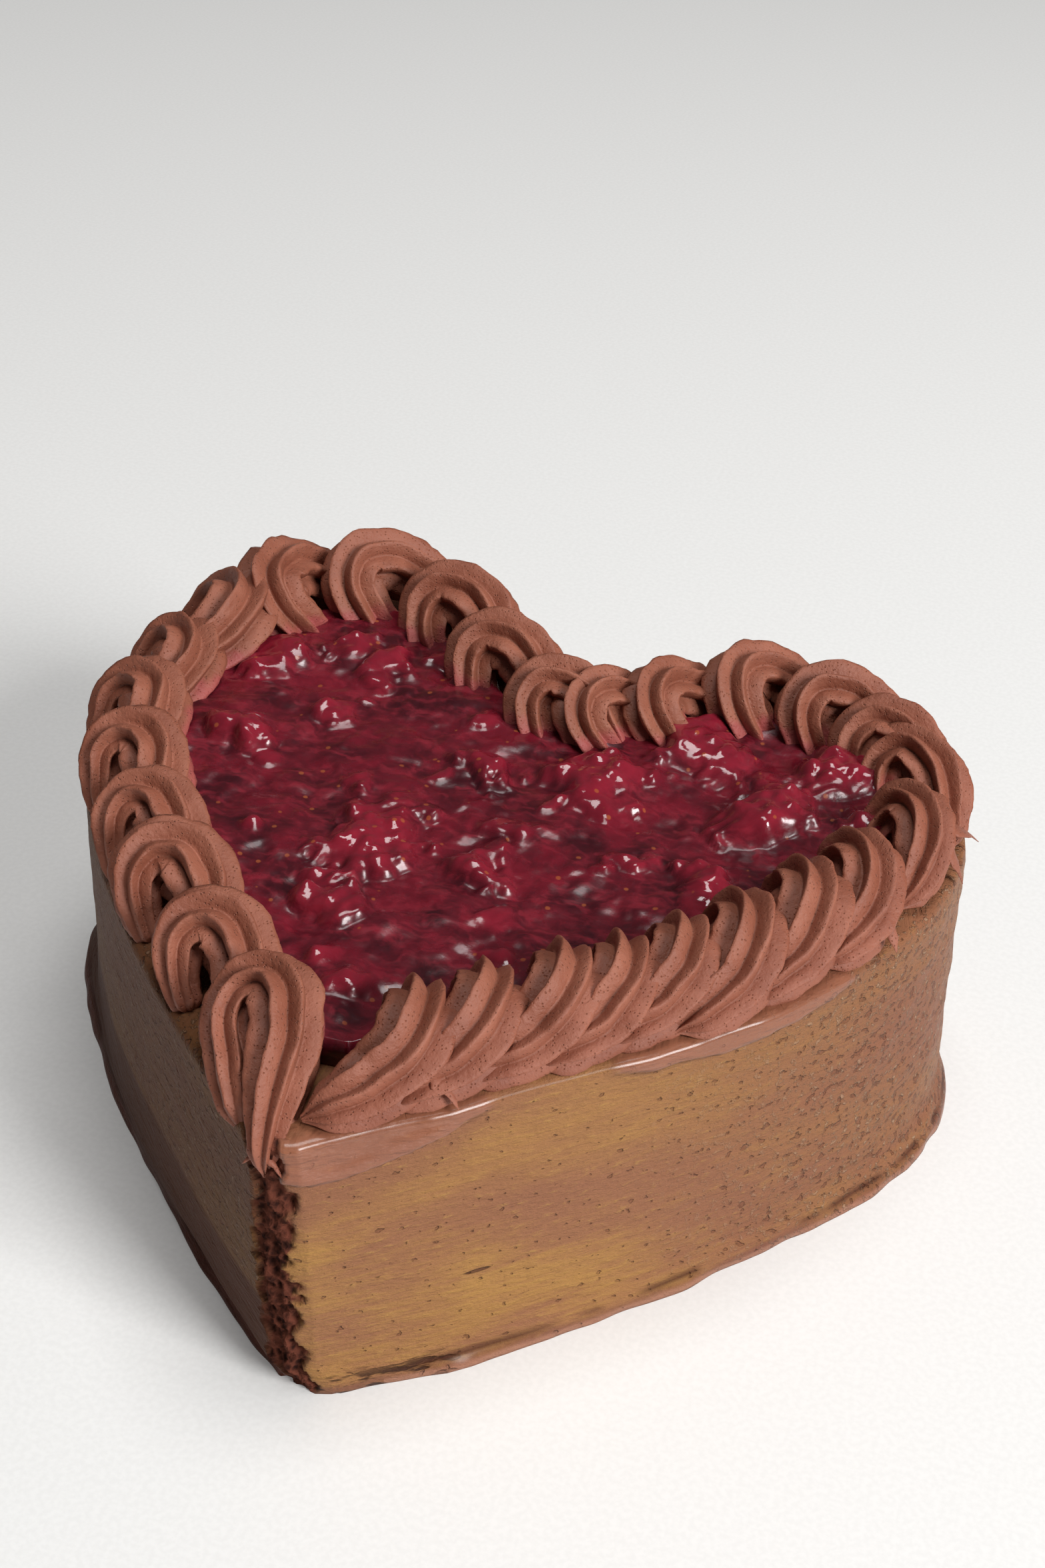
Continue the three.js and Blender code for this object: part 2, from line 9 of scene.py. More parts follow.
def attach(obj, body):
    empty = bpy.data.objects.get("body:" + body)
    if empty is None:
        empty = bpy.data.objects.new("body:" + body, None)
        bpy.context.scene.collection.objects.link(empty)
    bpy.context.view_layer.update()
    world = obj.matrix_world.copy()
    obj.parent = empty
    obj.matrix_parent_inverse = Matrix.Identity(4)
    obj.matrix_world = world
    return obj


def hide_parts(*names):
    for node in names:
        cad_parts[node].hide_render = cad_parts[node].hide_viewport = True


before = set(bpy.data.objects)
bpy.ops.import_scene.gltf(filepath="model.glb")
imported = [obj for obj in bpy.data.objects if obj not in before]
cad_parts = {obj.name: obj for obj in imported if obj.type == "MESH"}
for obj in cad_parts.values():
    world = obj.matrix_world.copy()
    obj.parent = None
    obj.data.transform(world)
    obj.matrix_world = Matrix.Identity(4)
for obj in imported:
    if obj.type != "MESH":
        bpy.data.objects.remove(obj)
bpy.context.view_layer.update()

# A heart-shaped cake: a cocoa-glazed wall, a border of piped shells of chocolate cream
# and a glossy berry compote. Sizes below are in millimetres; a mesh is brought to
# metres when it is made. Outline, shells and berries repeat the model's own sizes.
MM = 0.001
CENTRE = np.array([0.0, 78.0])  # the origin, measured from the heart's tip
CAKE_HEIGHT = 60.0
BLUNT_TIP = 4.5
ROUND = 0.55
TIP_RISE = 0.35
CLEFT_BACK, CLEFT_DROP, CLEFT_LIFT = 0.42, 0.5, 0.45

FOOT = dict(
    tip=(-1, 0),
    cleft=(8, 136),
    right=dict(wide=(93, 107), crown=(46, 155), lean=33, reach=38, pull=29),
    left=dict(wide=(-92, 102), crown=(-43, 167), lean=35, reach=36, pull=24),
)
TOP = dict(
    tip=(-5, -2),
    cleft=(8, 133),
    right=dict(wide=(88, 112), crown=(45, 152), lean=40, reach=38, pull=44),
    left=dict(wide=(-84, 106), crown=(-42, 164), lean=42, reach=36, pull=40),
)
BORDER_STEPS = 40  # points between two of the outline's, on the border
COARSE_STEPS = (10, 7, 7)  # points along a side, round a lobe and into the cleft
FINE_STEPS = (230, 110, 110)

# Piped cream: the nozzle's way through one shell, as along, left, up and bead radius.
BORDER_INSET = 11.5
BORDER_CLEAR = 0.97  # least share of the inset at which a point of the line is kept
LOBE_WAY = (
    (2.8, -3.6, -1.5, 3.8), (-1.6, -4.4, 4.0, 4.6), (-4.6, -2.6, 8.6, 5.3),
    (-4.0, 1.2, 10.9, 5.8), (0.4, 4.4, 10.6, 5.9), (6.0, 5.6, 7.8, 5.4),
    (11.6, 5.0, 4.2, 4.2), (16.6, 3.8, 1.8, 2.4),
)
LOBE_CORE = ((-4, 0.6, 4.0), (9, 0.6, 0.6))
SIDE_WAY = (
    (-1.0, -6.4, -1.5, 4.0), (-3.2, -6.0, 4.2, 4.8), (-4.2, -3.6, 8.4, 5.6),
    (-2.6, 0.4, 9.8, 6.1), (1.2, 4.0, 7.8, 6.1), (6.6, 6.2, 5.0, 5.6),
    (13.2, 6.8, 3.2, 4.5), (20.0, 6.2, 1.4, 2.5),
)
SIDE_CORE = ((-4.5, -1.2, 2.0), (12, 1.2, -2.5))
LEFT_WAY = (
    (5.0, -8.4, -1.0, 2.6), (1.4, -8.6, 2.8, 3.4), (-2.8, -7.2, 7.6, 4.3),
    (-4.0, -3.2, 9.8, 5.6), (-1.2, 0.8, 9.6, 6.2), (5.0, 2.0, 7.2, 6.0),
    (11.8, 0.0, 4.6, 4.8), (17.0, -3.0, 1.8, 2.8),
)
LEFT_CORE = ((-4.2, -4.0, 3.6), (12, -4.2, -1.5))
TIP_WAY = (
    (15, -2.8, -1.6, 3.2), (7, -4.6, 3.2, 4.2), (0, -5.8, 6.8, 4.2), (-4.2, -3.6, 9.6, 4.7),
    (-4.6, 0.6, 10.9, 5.4), (-0.5, 3.6, 10.2, 5.7), (6.5, 3.6, 7.2, 5.5),
    (13.5, 2.2, 2.8, 4.6), (18.8, 1.0, -2.2, 3.1), (20.6, 1.0, -7.6, 2.0),
)
TIP_CORE = ((-5, -1, 4.5), (17, -0.6, -3))
TIP_PLACE, TIP_HEADING = (-14, 18), -70
CHAINS = (
    dict(
        name="shell_right", start=0.645, turn=-1,
        ways=((LOBE_WAY, LOBE_CORE),) * 12 + ((SIDE_WAY, SIDE_CORE),) * 8,
        steps=(0, 19, 20, 20, 19, 10, 14, 18, 16, 14, 9, 18, 18, 15, 15, 13, 12, 11, 14, 12),
        sizes=(1.18, 1.14, 1.1, 1.02, 1, 0.95, 1, 1.05, 1.02, 1, 0.92, 0.92, 0.95, 0.97,
               0.97, 0.95, 0.95, 0.97, 1, 1),
    ),
    dict(
        name="shell_left", start=0.682, turn=1,
        ways=((LEFT_WAY, LEFT_CORE),) * 7,
        steps=(0, 17, 17, 17, 20, 17, 21),
        sizes=(1.16, 1.04, 0.98, 1, 1, 1, 1.02),
    ),
)
UNEVEN_YAW, UNEVEN_SIZE, UNEVEN_SHIFT = 0.14, 0.03, 0.6
PLACES_SEED = 23
RIDGES = 8
RIDGE_CREST, RIDGE_GROOVE = 0.18, 0.36
RIDGE_TWIST, RIDGE_LEAN = 0.6, 0.08
CREAM_RAGGED = 0.5
CORE_CLEARANCE = 0.4
BEAD_RINGS, BEAD_AROUND = 64, 105

# Flakes of cream under the border: point from the tip, and width. Each grows out of the
# nearest shell.
FLAKES = (
    ((89.5, 115, 63), 5),
    ((80.5, 79, 61.5), 5),
    ((88.5, 105, 60), 4.6),
    ((20.7, 15.5, 61), 4),
)
CURL = dict(root=(-8.5, 0.5, 55.5), point=(-2.6, -2.2, 54.2), width=1.7)  # at the tip's tail
CREST = 4  # the point of a way that is the middle of its arch
FLAKE_RINGS, FLAKE_AROUND = 26, 14
FLAKE_POINT, FLAKE_THICK, FLAKE_BEND = 0.1, 0.75, 1.6

# The camera's place and directions, in millimetres and as unit vectors.
CAMERA_PLACE = (99.96, -303.65, 307.12)
CAMERA_AHEAD = (-0.2301, 0.7804, -0.5814)
CAMERA_RIGHT = (0.9506, 0.3082, 0.0374)
CAMERA_LENS, CAMERA_SENSOR = 50, 36


# ------------------------------------------------------------------ node trees as sums
class Wire:
    """A value in a node tree. Python's operators on it add Math or Vector Math nodes."""

    def __init__(self, net, socket):
        self.net = net
        self.socket = socket

    @property
    def is_vector(self):
        return self.socket.type in ("VECTOR", "RGBA")

    def __add__(self, other):
        return self.net.sum("ADD", self, other)

    def __radd__(self, other):
        return self.net.sum("ADD", other, self)

    def __sub__(self, other):
        return self.net.sum("SUBTRACT", self, other)

    def __rsub__(self, other):
        return self.net.sum("SUBTRACT", other, self)

    def __mul__(self, other):
        return self.net.sum("MULTIPLY", self, other)

    def __rmul__(self, other):
        return self.net.sum("MULTIPLY", other, self)

    def __truediv__(self, other):
        return self.net.sum("DIVIDE", self, other)

    def __rtruediv__(self, other):
        return self.net.sum("DIVIDE", other, self)

    def __pow__(self, other):
        return self.net.sum("POWER", self, other)

    def __neg__(self):
        return self.net.sum("MULTIPLY", self, -1)

    def __gt__(self, other):
        return self.net.sum("GREATER_THAN", self, other)

    def __abs__(self):
        return self.net.sum("ABSOLUTE", self)


class Net:
    """Builds one node tree, of a material or of geometry."""

    def __init__(self, tree):
        self.tree = tree

    def add(self, kind, settings=None, values=None, out=0):
        """A node of that kind. values go by socket name, or by place where it is a number."""
        node = self.tree.nodes.new(kind)
        for name, value in (settings or {}).items():
            if name == "items":
                for item_type, item_name in value:
                    node.capture_items.new(item_type, item_name)
            else:
                setattr(node, name, value)
        for name, value in (values or {}).items():
            self._feed(self._socket(node.inputs, name), value)
        if out is None:
            return node
        return Wire(self, self._socket(node.outputs, out))

    def _socket(self, sockets, name):
        if isinstance(name, int):
            return sockets[name]
        return next(s for s in sockets if s.enabled and s.name == name)

    def _feed(self, socket, value):
        if isinstance(value, Wire):
            self.tree.links.new(value.socket, socket)
        elif socket.type == "RGBA" and len(value) == 3:
            socket.default_value = (*value, 1)
        else:
            socket.default_value = value

    def sum(self, operation, *values):
        vectors = [isinstance(v, (tuple, Vector)) or (isinstance(v, Wire) and v.is_vector)
                   for v in values]
        if not any(vectors):
            return self.add("ShaderNodeMath", {"operation": operation}, dict(enumerate(values)))
        if operation in ("MULTIPLY", "DIVIDE") and vectors == [True, False]:
            scale = 1 / values[1] if operation == "DIVIDE" else values[1]
            return self.add("ShaderNodeVectorMath", {"operation": "SCALE"},
                            {0: values[0], "Scale": scale})
        if operation == "MULTIPLY" and vectors == [False, True]:
            return self.sum("MULTIPLY", values[1], values[0])
        return self.add("ShaderNodeVectorMath", {"operation": operation},
                        dict(enumerate(values)))

    def dot(self, a, b):
        return self.add("ShaderNodeVectorMath", {"operation": "DOT_PRODUCT"}, {0: a, 1: b},
                        out="Value")

    def cross(self, a, b):
        return self.add("ShaderNodeVectorMath", {"operation": "CROSS_PRODUCT"}, {0: a, 1: b})

    def length(self, a):
        return self.add("ShaderNodeVectorMath", {"operation": "LENGTH"}, {0: a}, out="Value")

    def unit(self, a):
        return self.add("ShaderNodeVectorMath", {"operation": "NORMALIZE"}, {0: a})

    def clamp(self, value, low=0.0, high=1.0):
        return self.sum("MINIMUM", self.sum("MAXIMUM", value, low), high)

    def smooth(self, value, low, high):
        """0 below low, 1 above high, and a smooth rise between them."""
        return self.add("ShaderNodeMapRange", {"interpolation_type": "SMOOTHSTEP"},
                        {"Value": value, "From Min": low, "From Max": high})

    def mix(self, share, a, b):
        """Colours a and b, mixed by share."""
        return self.add("ShaderNodeMix", {"data_type": "RGBA"},
                        {"Factor": share, "A": a, "B": b}, out="Result")

    def attribute(self, name):
        """A named value that the mesh carries, in a material."""
        return self.add("ShaderNodeAttribute", {"attribute_name": name}, out="Fac")

    def noise(self, place, scale, detail=3.0, rough=0.55, distortion=0.0, out="Fac"):
        return self.add("ShaderNodeTexNoise", {},
                        {"Vector": place, "Scale": scale, "Detail": detail,
                         "Roughness": rough, "Distortion": distortion}, out=out)

    def cells(self, place, scale, feature="F1", spread=1.0, out="Distance"):
        return self.add("ShaderNodeTexVoronoi", {"feature": feature},
                        {"Vector": place, "Scale": scale, "Randomness": spread}, out=out)

    def vector(self, x, y, z):
        return self.add("ShaderNodeCombineXYZ", {}, {"X": x, "Y": y, "Z": z})

    def parts(self, vector):
        node = self.add("ShaderNodeSeparateXYZ", {}, {0: vector}, out=None)
        return [Wire(self, socket) for socket in node.outputs]


# ------------------------------------------------------------------ chance, from one seed
def chance_from(seed):
    """The model's own random numbers, so that shells lie where it has them."""
    state = seed

    def draw(low, high):
        nonlocal state
        state = (state * 1664525 + 1013904223) % 2**32
        return low + (high - low) * state / 2**32

    return draw


# ------------------------------------------------------------------ the heart's outline
def bezier(p0, p1, p2, p3, steps):
    t = np.arange(steps)[:, None] / steps
    p0, p1, p2, p3 = (np.array(p, float) for p in (p0, p1, p2, p3))
    return (
        (1 - t) ** 3 * p0 + 3 * (1 - t) ** 2 * t * p1 + 3 * (1 - t) * t * t * p2 + t**3 * p3
    )


def heart_side(heart, side, sign, steps):
    lean = math.radians(side["lean"])
    (wide_x, wide_y), (crown_x, crown_y) = side["wide"], side["crown"]
    (tip_x, tip_y), (cleft_x, cleft_y) = heart["tip"], heart["cleft"]
    start = (tip_x + sign * BLUNT_TIP, tip_y + TIP_RISE * BLUNT_TIP)
    leave = (
        start[0] + sign * side["reach"] * math.cos(lean),
        start[1] + side["reach"] * math.sin(lean),
    )
    rise, run = (crown_y - wide_y) * ROUND, (crown_x - wide_x) * ROUND
    back = (cleft_x - crown_x) * CLEFT_BACK
    drop = (crown_y - cleft_y) * CLEFT_DROP
    return np.concatenate([
        bezier(start, leave, (wide_x, wide_y - side["pull"]), side["wide"], steps[0]),
        bezier(side["wide"], (wide_x, wide_y + rise), (crown_x - run, crown_y),
               side["crown"], steps[1]),
        bezier(side["crown"], (crown_x + back, crown_y),
               (cleft_x + sign * drop, cleft_y + drop * CLEFT_LIFT), heart["cleft"], steps[2]),
    ])


def heart_outline(heart, steps):
    """Counter-clockwise from the tip, measured from the origin."""
    return np.concatenate([
        [heart["tip"]],
        heart_side(heart, heart["right"], 1, steps),
        [heart["cleft"]],
        heart_side(heart, heart["left"], -1, steps)[::-1],
    ]) - CENTRE


def outward(outline):
    along = np.roll(outline, -1, 0) - np.roll(outline, 1, 0)
    across = np.stack([along[:, 1], -along[:, 0]], 1)
    return across / np.linalg.norm(across, axis=1, keepdims=True)


def centripetal(points, steps):
    """A closed curve through the points, as Catmull and Rom draw it, by their gaps' roots."""
    made = []
    count = len(points)
    for k in range(count):
        p = [points[(k + shift) % count] for shift in (-1, 0, 1, 2)]
        gap = [math.sqrt(max(np.linalg.norm(p[i + 1] - p[i]), 1e-6)) for i in range(3)]
        leave = ((p[1] - p[0]) / gap[0] - (p[2] - p[0]) / (gap[0] + gap[1])
                 + (p[2] - p[1]) / gap[1]) * gap[1]
        arrive = ((p[2] - p[1]) / gap[1] - (p[3] - p[1]) / (gap[1] + gap[2])
                  + (p[3] - p[2]) / gap[2]) * gap[1]
        t = np.arange(steps)[:, None] / steps
        made.append(
            (2 * t**3 - 3 * t**2 + 1) * p[1] + (t**3 - 2 * t**2 + t) * leave
            + (3 * t**2 - 2 * t**3) * p[2] + (t**3 - t**2) * arrive
        )
    return np.concatenate(made)


class Border:
    """The closed line that the shells follow."""

    def __init__(self):
        outline = heart_outline(TOP, COARSE_STEPS)
        inset = outline - outward(outline) * BORDER_INSET
        reach = np.linalg.norm(inset[:, None] - outline[None], axis=2).min(1)
        self.points = centripetal(inset[reach > BORDER_INSET * BORDER_CLEAR],
                                  BORDER_STEPS)
        gaps = np.linalg.norm(np.roll(self.points, -1, 0) - self.points, axis=1)
        self.run = np.concatenate([[0], np.cumsum(gaps)])
        self.length = self.run[-1]

    def at(self, share):
        """The place at that share of the line, and the direction there."""
        closed = np.concatenate([self.points, self.points[:1]])
        here, there = [
            np.array([np.interp((s % 1) * self.length, self.run, closed[:, i])
                      for i in (0, 1)])
            for s in (share, share + 0.5 / self.length)
        ]
        ahead = there - here
        return here, ahead / np.linalg.norm(ahead)


# ------------------------------------------------------------------ meshes and objects
def mesh_object(name, points, faces, material, smooth=True):
    mesh = bpy.data.meshes.new(name)
    mesh.from_pydata([tuple(p) for p in np.asarray(points) * MM], [], faces)
    mesh.materials.append(material)
    mesh.polygons.foreach_set("use_smooth", [smooth] * len(mesh.polygons))
    mesh.update()
    piece = bpy.data.objects.new(name, mesh)
    bpy.context.scene.collection.objects.link(piece)
    return piece


def fit_to_body(piece, slot, *nodes):
    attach(piece, "root")
    if nodes:
        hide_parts(*nodes)


def ring_faces(rings, around, first=0):
    """Quads between rings of points that run counter-clockwise seen from outside."""
    start = first + (np.arange(rings - 1) * around)[:, None] + np.arange(around)[None]
    side = first + (np.arange(rings - 1) * around)[:, None] + (
        (np.arange(around) + 1) % around)[None]
    quads = np.stack([start, side, side + around, start + around], -1)
    return [tuple(q) for q in quads.reshape(-1, 4).tolist()]


# ------------------------------------------------------------------ materials
def new_material(name):
    material = bpy.data.materials.new(name)
    material.use_nodes = True
    tree = material.node_tree
    tree.nodes.clear()
    net = Net(tree)
    shader = net.add("ShaderNodeBsdfPrincipled", out=None)
    output = net.add("ShaderNodeOutputMaterial", out=None)
    tree.links.new(shader.outputs["BSDF"], output.inputs["Surface"])
    return material, net, shader


def dress(net, shader, **looks):
    """Sets the shader's sockets by name, with _ for a space."""
    for name, value in looks.items():
        net._feed(shader.inputs[name.replace("_", " ").title().replace("Ior", "IOR")], value)


def bump(net, height, distance, strength=1.0):
    return net.add("ShaderNodeBump", {}, {"Height": height, "Distance": distance * MM,
                                          "Strength": strength}, out="Normal")


def cream_material():
    material, net, shader = new_material("chocolate cream")
    place = net.add("ShaderNodeTexCoord", out="Object") * (1 / MM)
    blotch = net.noise(place, 0.12, 3)
    fine = net.noise(place, 1.6, 4, 0.65)
    pores = net.cells(place, 1.3)
    colour = net.mix(net.smooth(blotch, 0.3, 0.7), (0.245, 0.078, 0.045), (0.31, 0.108, 0.065))
    pore = net.smooth(pores, 0.0, 0.28)
    colour = net.mix((1 - pore) * 0.35, colour, (0.17, 0.06, 0.035))
    edge = net.attribute("stain")
    colour = net.mix(edge * 0.6, colour, (0.36, 0.06, 0.07))
    grain = fine * 0.6 + pore * 0.7 + net.noise(place, 0.7, 2) * 0.7
    dress(net, shader, base_color=colour, roughness=0.42 + blotch * 0.2,
          normal=bump(net, grain, 0.34, 0.85), specular_ior_level=0.33,
          subsurface_weight=0.05, subsurface_scale=0.0015,
          subsurface_radius=(1.0, 0.45, 0.25))
    return material


def glaze_material():
    material, net, shader = new_material("cocoa glaze")
    place = net.add("ShaderNodeTexCoord", out="Object") * (1 / MM)
    x, y, z = net.parts(place)
    torn = net.attribute("torn")
    rough_side = net.attribute("pitted")
    run = net.attribute("run")
    lap = net.attribute("lap")
    fold_shadow = net.attribute("fold_shadow")
    streak = net.noise(net.vector(run * 0.07, z * 0.6 + run * 0.02, 0.0), 1.0, 6, 0.7)
    smear = net.noise(net.vector(run * 0.02, z * 0.05, 3.0), 1.0, 3, 0.5)
    speck_relief_and_glint = net.noise(net.vector(run * 0.3, z * 0.9, 5.0), 1.0, 4, 0.7)
    dots = [net.length(net.vector((run - u) / broad, (z - v) / tall, 0.0))
            for u, v, broad, tall in WALL_MARKS]
    marks = 1 - net.smooth(net.sum("MINIMUM", *dots), 0.6, 1.1)
    dent = net.noise(net.vector(run * 0.5, z * 0.6, 8.0), 1.0, 2, 0.5)
    pits = net.smooth(dent + rough_side * 0.09, 0.66, 0.73)
    colour = net.mix(net.smooth(smear, 0.35, 0.65), (0.28, 0.12, 0.062), (0.33, 0.155, 0.06))
    # Painted reflection of a gold board: golden streaks, stronger low on the wall.
    low = 1 - net.smooth(z + abs(run) * 0.3, 20.0, 70.0)
    gold_reflection = net.smooth(smear * 0.5 + streak * 0.6 + low * 0.12, 0.56, 0.84)
    colour = net.mix(gold_reflection * 0.6, colour, (0.44, 0.24, 0.06))
    # Painted reflection: small golden specks where the speck noise is high; darker specks where it
    # is low.
    colour = net.mix(net.smooth(speck_relief_and_glint, 0.54, 0.72) * 0.5, colour, (0.46, 0.26, 0.075))
    colour = net.mix((1 - net.smooth(speck_relief_and_glint, 0.3, 0.44)) * 0.3, colour, (0.2, 0.078, 0.048))
    far = net.smooth(run, 50.0, 125.0)
    colour = net.mix(far * 0.55, colour, (0.22, 0.085, 0.05))
    # Painted shade: the left wall is darkened, somewhat more below about 25 mm.
    left = 1 - net.smooth(x * 0.85 + y * 0.5 + (run > 0) * 200.0, -45.0, -5.0)
    left = left * (0.7 + (1 - net.smooth(z + smear * 8.0, 24.0, 27.0)) * 0.28)
    colour = net.mix(left, colour, (0.09, 0.032, 0.017))
    wet = 1 - net.smooth(z + smear * 5.0, 3.6, 5.0)
    colour = net.mix(wet * 0.6, colour, (0.16, 0.05, 0.035))
    # Painted highlights: light specks on the pitted parts, dimmer on the left wall.
    glint = net.smooth(net.noise(place, 0.8, 3, 0.7), 0.54, 0.66) * rough_side
    colour = net.mix(glint * (0.4 - left * 0.25), colour, (0.52, 0.36, 0.24))
    colour = net.mix(pits * 0.45, colour, (0.15, 0.05, 0.028))
    colour = net.mix(marks * 0.8, colour, (0.08, 0.025, 0.015))
    # Painted shade: near-black patches where the glaze lifts at the foot near the tip, for the
    # dark holes under it.
    lifted_hole_shade = net.smooth(net.noise(net.vector(run * 0.12, z * 0.5, 6.0), 1.0, 3), 0.5, 0.6)
    lifted_hole_shade = lifted_hole_shade * (1 - net.smooth(z, 2.5, 5.5)) * (1 - net.smooth(abs(run - 12.0), 12.0, 18.0))
    colour = net.mix(lifted_hole_shade * 0.9, colour, (0.03, 0.01, 0.008))
    colour = net.mix(lap * 0.8, colour, (0.25, 0.09, 0.052))
    # Painted shadow lines under the collar's fold and above the foot's lip.
    colour = net.mix(fold_shadow * 0.85, colour, (0.07, 0.022, 0.014))
    edge = (1 - net.smooth(z, 0.7, 1.6)) * (run > 14)
    colour = net.mix(edge * 0.6, colour, (0.42, 0.2, 0.13))
    crumb = net.cells(place + net.noise(place, 0.8, 2, out="Color") * 1.2, 0.55)
    crumb_colour = net.mix(net.smooth(crumb, 0.1, 0.7), (0.025, 0.009, 0.007),
                           (0.13, 0.04, 0.025))
    colour = net.mix(torn, colour, crumb_colour)
    wavy = net.noise(net.vector(run * 0.12, z * 0.5, 2.0), 1.0, 3, 0.6)
    fine = net.noise(place, 2.2, 3, 0.6)
    height = streak * 0.8 + speck_relief_and_glint * 1.6 - pits * 1.4 + glint * 0.8
    height = height * (1 - torn) * (1 - lap * 0.8) + crumb * torn * 1.5
    height = height + fine * 0.12 + lap * wavy * 2.5 - (lifted_hole_shade + marks) * 2.0
    dress(net, shader, base_color=colour,
          roughness=net.clamp(0.4 + streak * 0.16 + torn * 0.5 - wet * 0.15 - lap * 0.2),
          coat_weight=(lap * 0.6 + (1 - left) * (wet * 0.25 + 0.12)) * (1 - torn),
          coat_roughness=0.2, normal=bump(net, height, 0.7, 0.8), specular_ior_level=0.05)
    return material


def compote_material():
    material, net, shader = new_material("berry compote")
    place = net.add("ShaderNodeTexCoord", out="Object") * (1 / MM)
    lump = net.attribute("lump")
    warp = net.noise(place, 0.12, 2, out="Color") * 9.0
    flow = net.noise(place * (0.35, 1.0, 1.0) + warp, 0.35, 4, 0.6)
    cloud = net.noise(place, 0.09, 4, 0.6)
    colour = net.mix(net.smooth(cloud, 0.34, 0.64), (0.045, 0.003, 0.007), (0.14, 0.008, 0.017))
    colour = net.mix(net.smooth(flow, 0.44, 0.7) * 0.65, colour, (0.25, 0.018, 0.032))
    colour = net.mix(lump * 0.6, colour, (0.27, 0.014, 0.03))
    seeds = net.cells(place, 0.23)
    seed = 1 - net.smooth(seeds, 0.09, 0.13)
    colour = net.mix(seed * 0.55, colour, (0.38, 0.1, 0.03))
    grain = net.noise(place + warp * 0.5, 0.9, 3, 0.6)
    dress(net, shader, base_color=colour,
          roughness=net.clamp(0.32 - lump * 0.18 - net.smooth(cloud, 0.5, 0.62) * 0.14),
          normal=bump(net, grain * 0.4 + flow * 0.5, 0.2, 0.45),
          specular_ior_level=0.45, coat_weight=0.12 + lump * 0.4, coat_roughness=0.07,
          subsurface_weight=0.25, subsurface_scale=0.004,
          subsurface_radius=(1.0, 0.12, 0.15))
    return material


def floor_material():
    material, net, shader = new_material("pale floor")
    place = net.add("ShaderNodeTexCoord", out="Object")
    shade = net.noise(place, 900.0, 2)
    colour = net.mix(net.smooth(shade, 0.3, 0.7), (0.7, 0.695, 0.68), (0.74, 0.735, 0.72))
    dress(net, shader, base_color=colour, roughness=0.7,
          emission_color=(0.95, 0.94, 0.92), emission_strength=0.15)
    return material


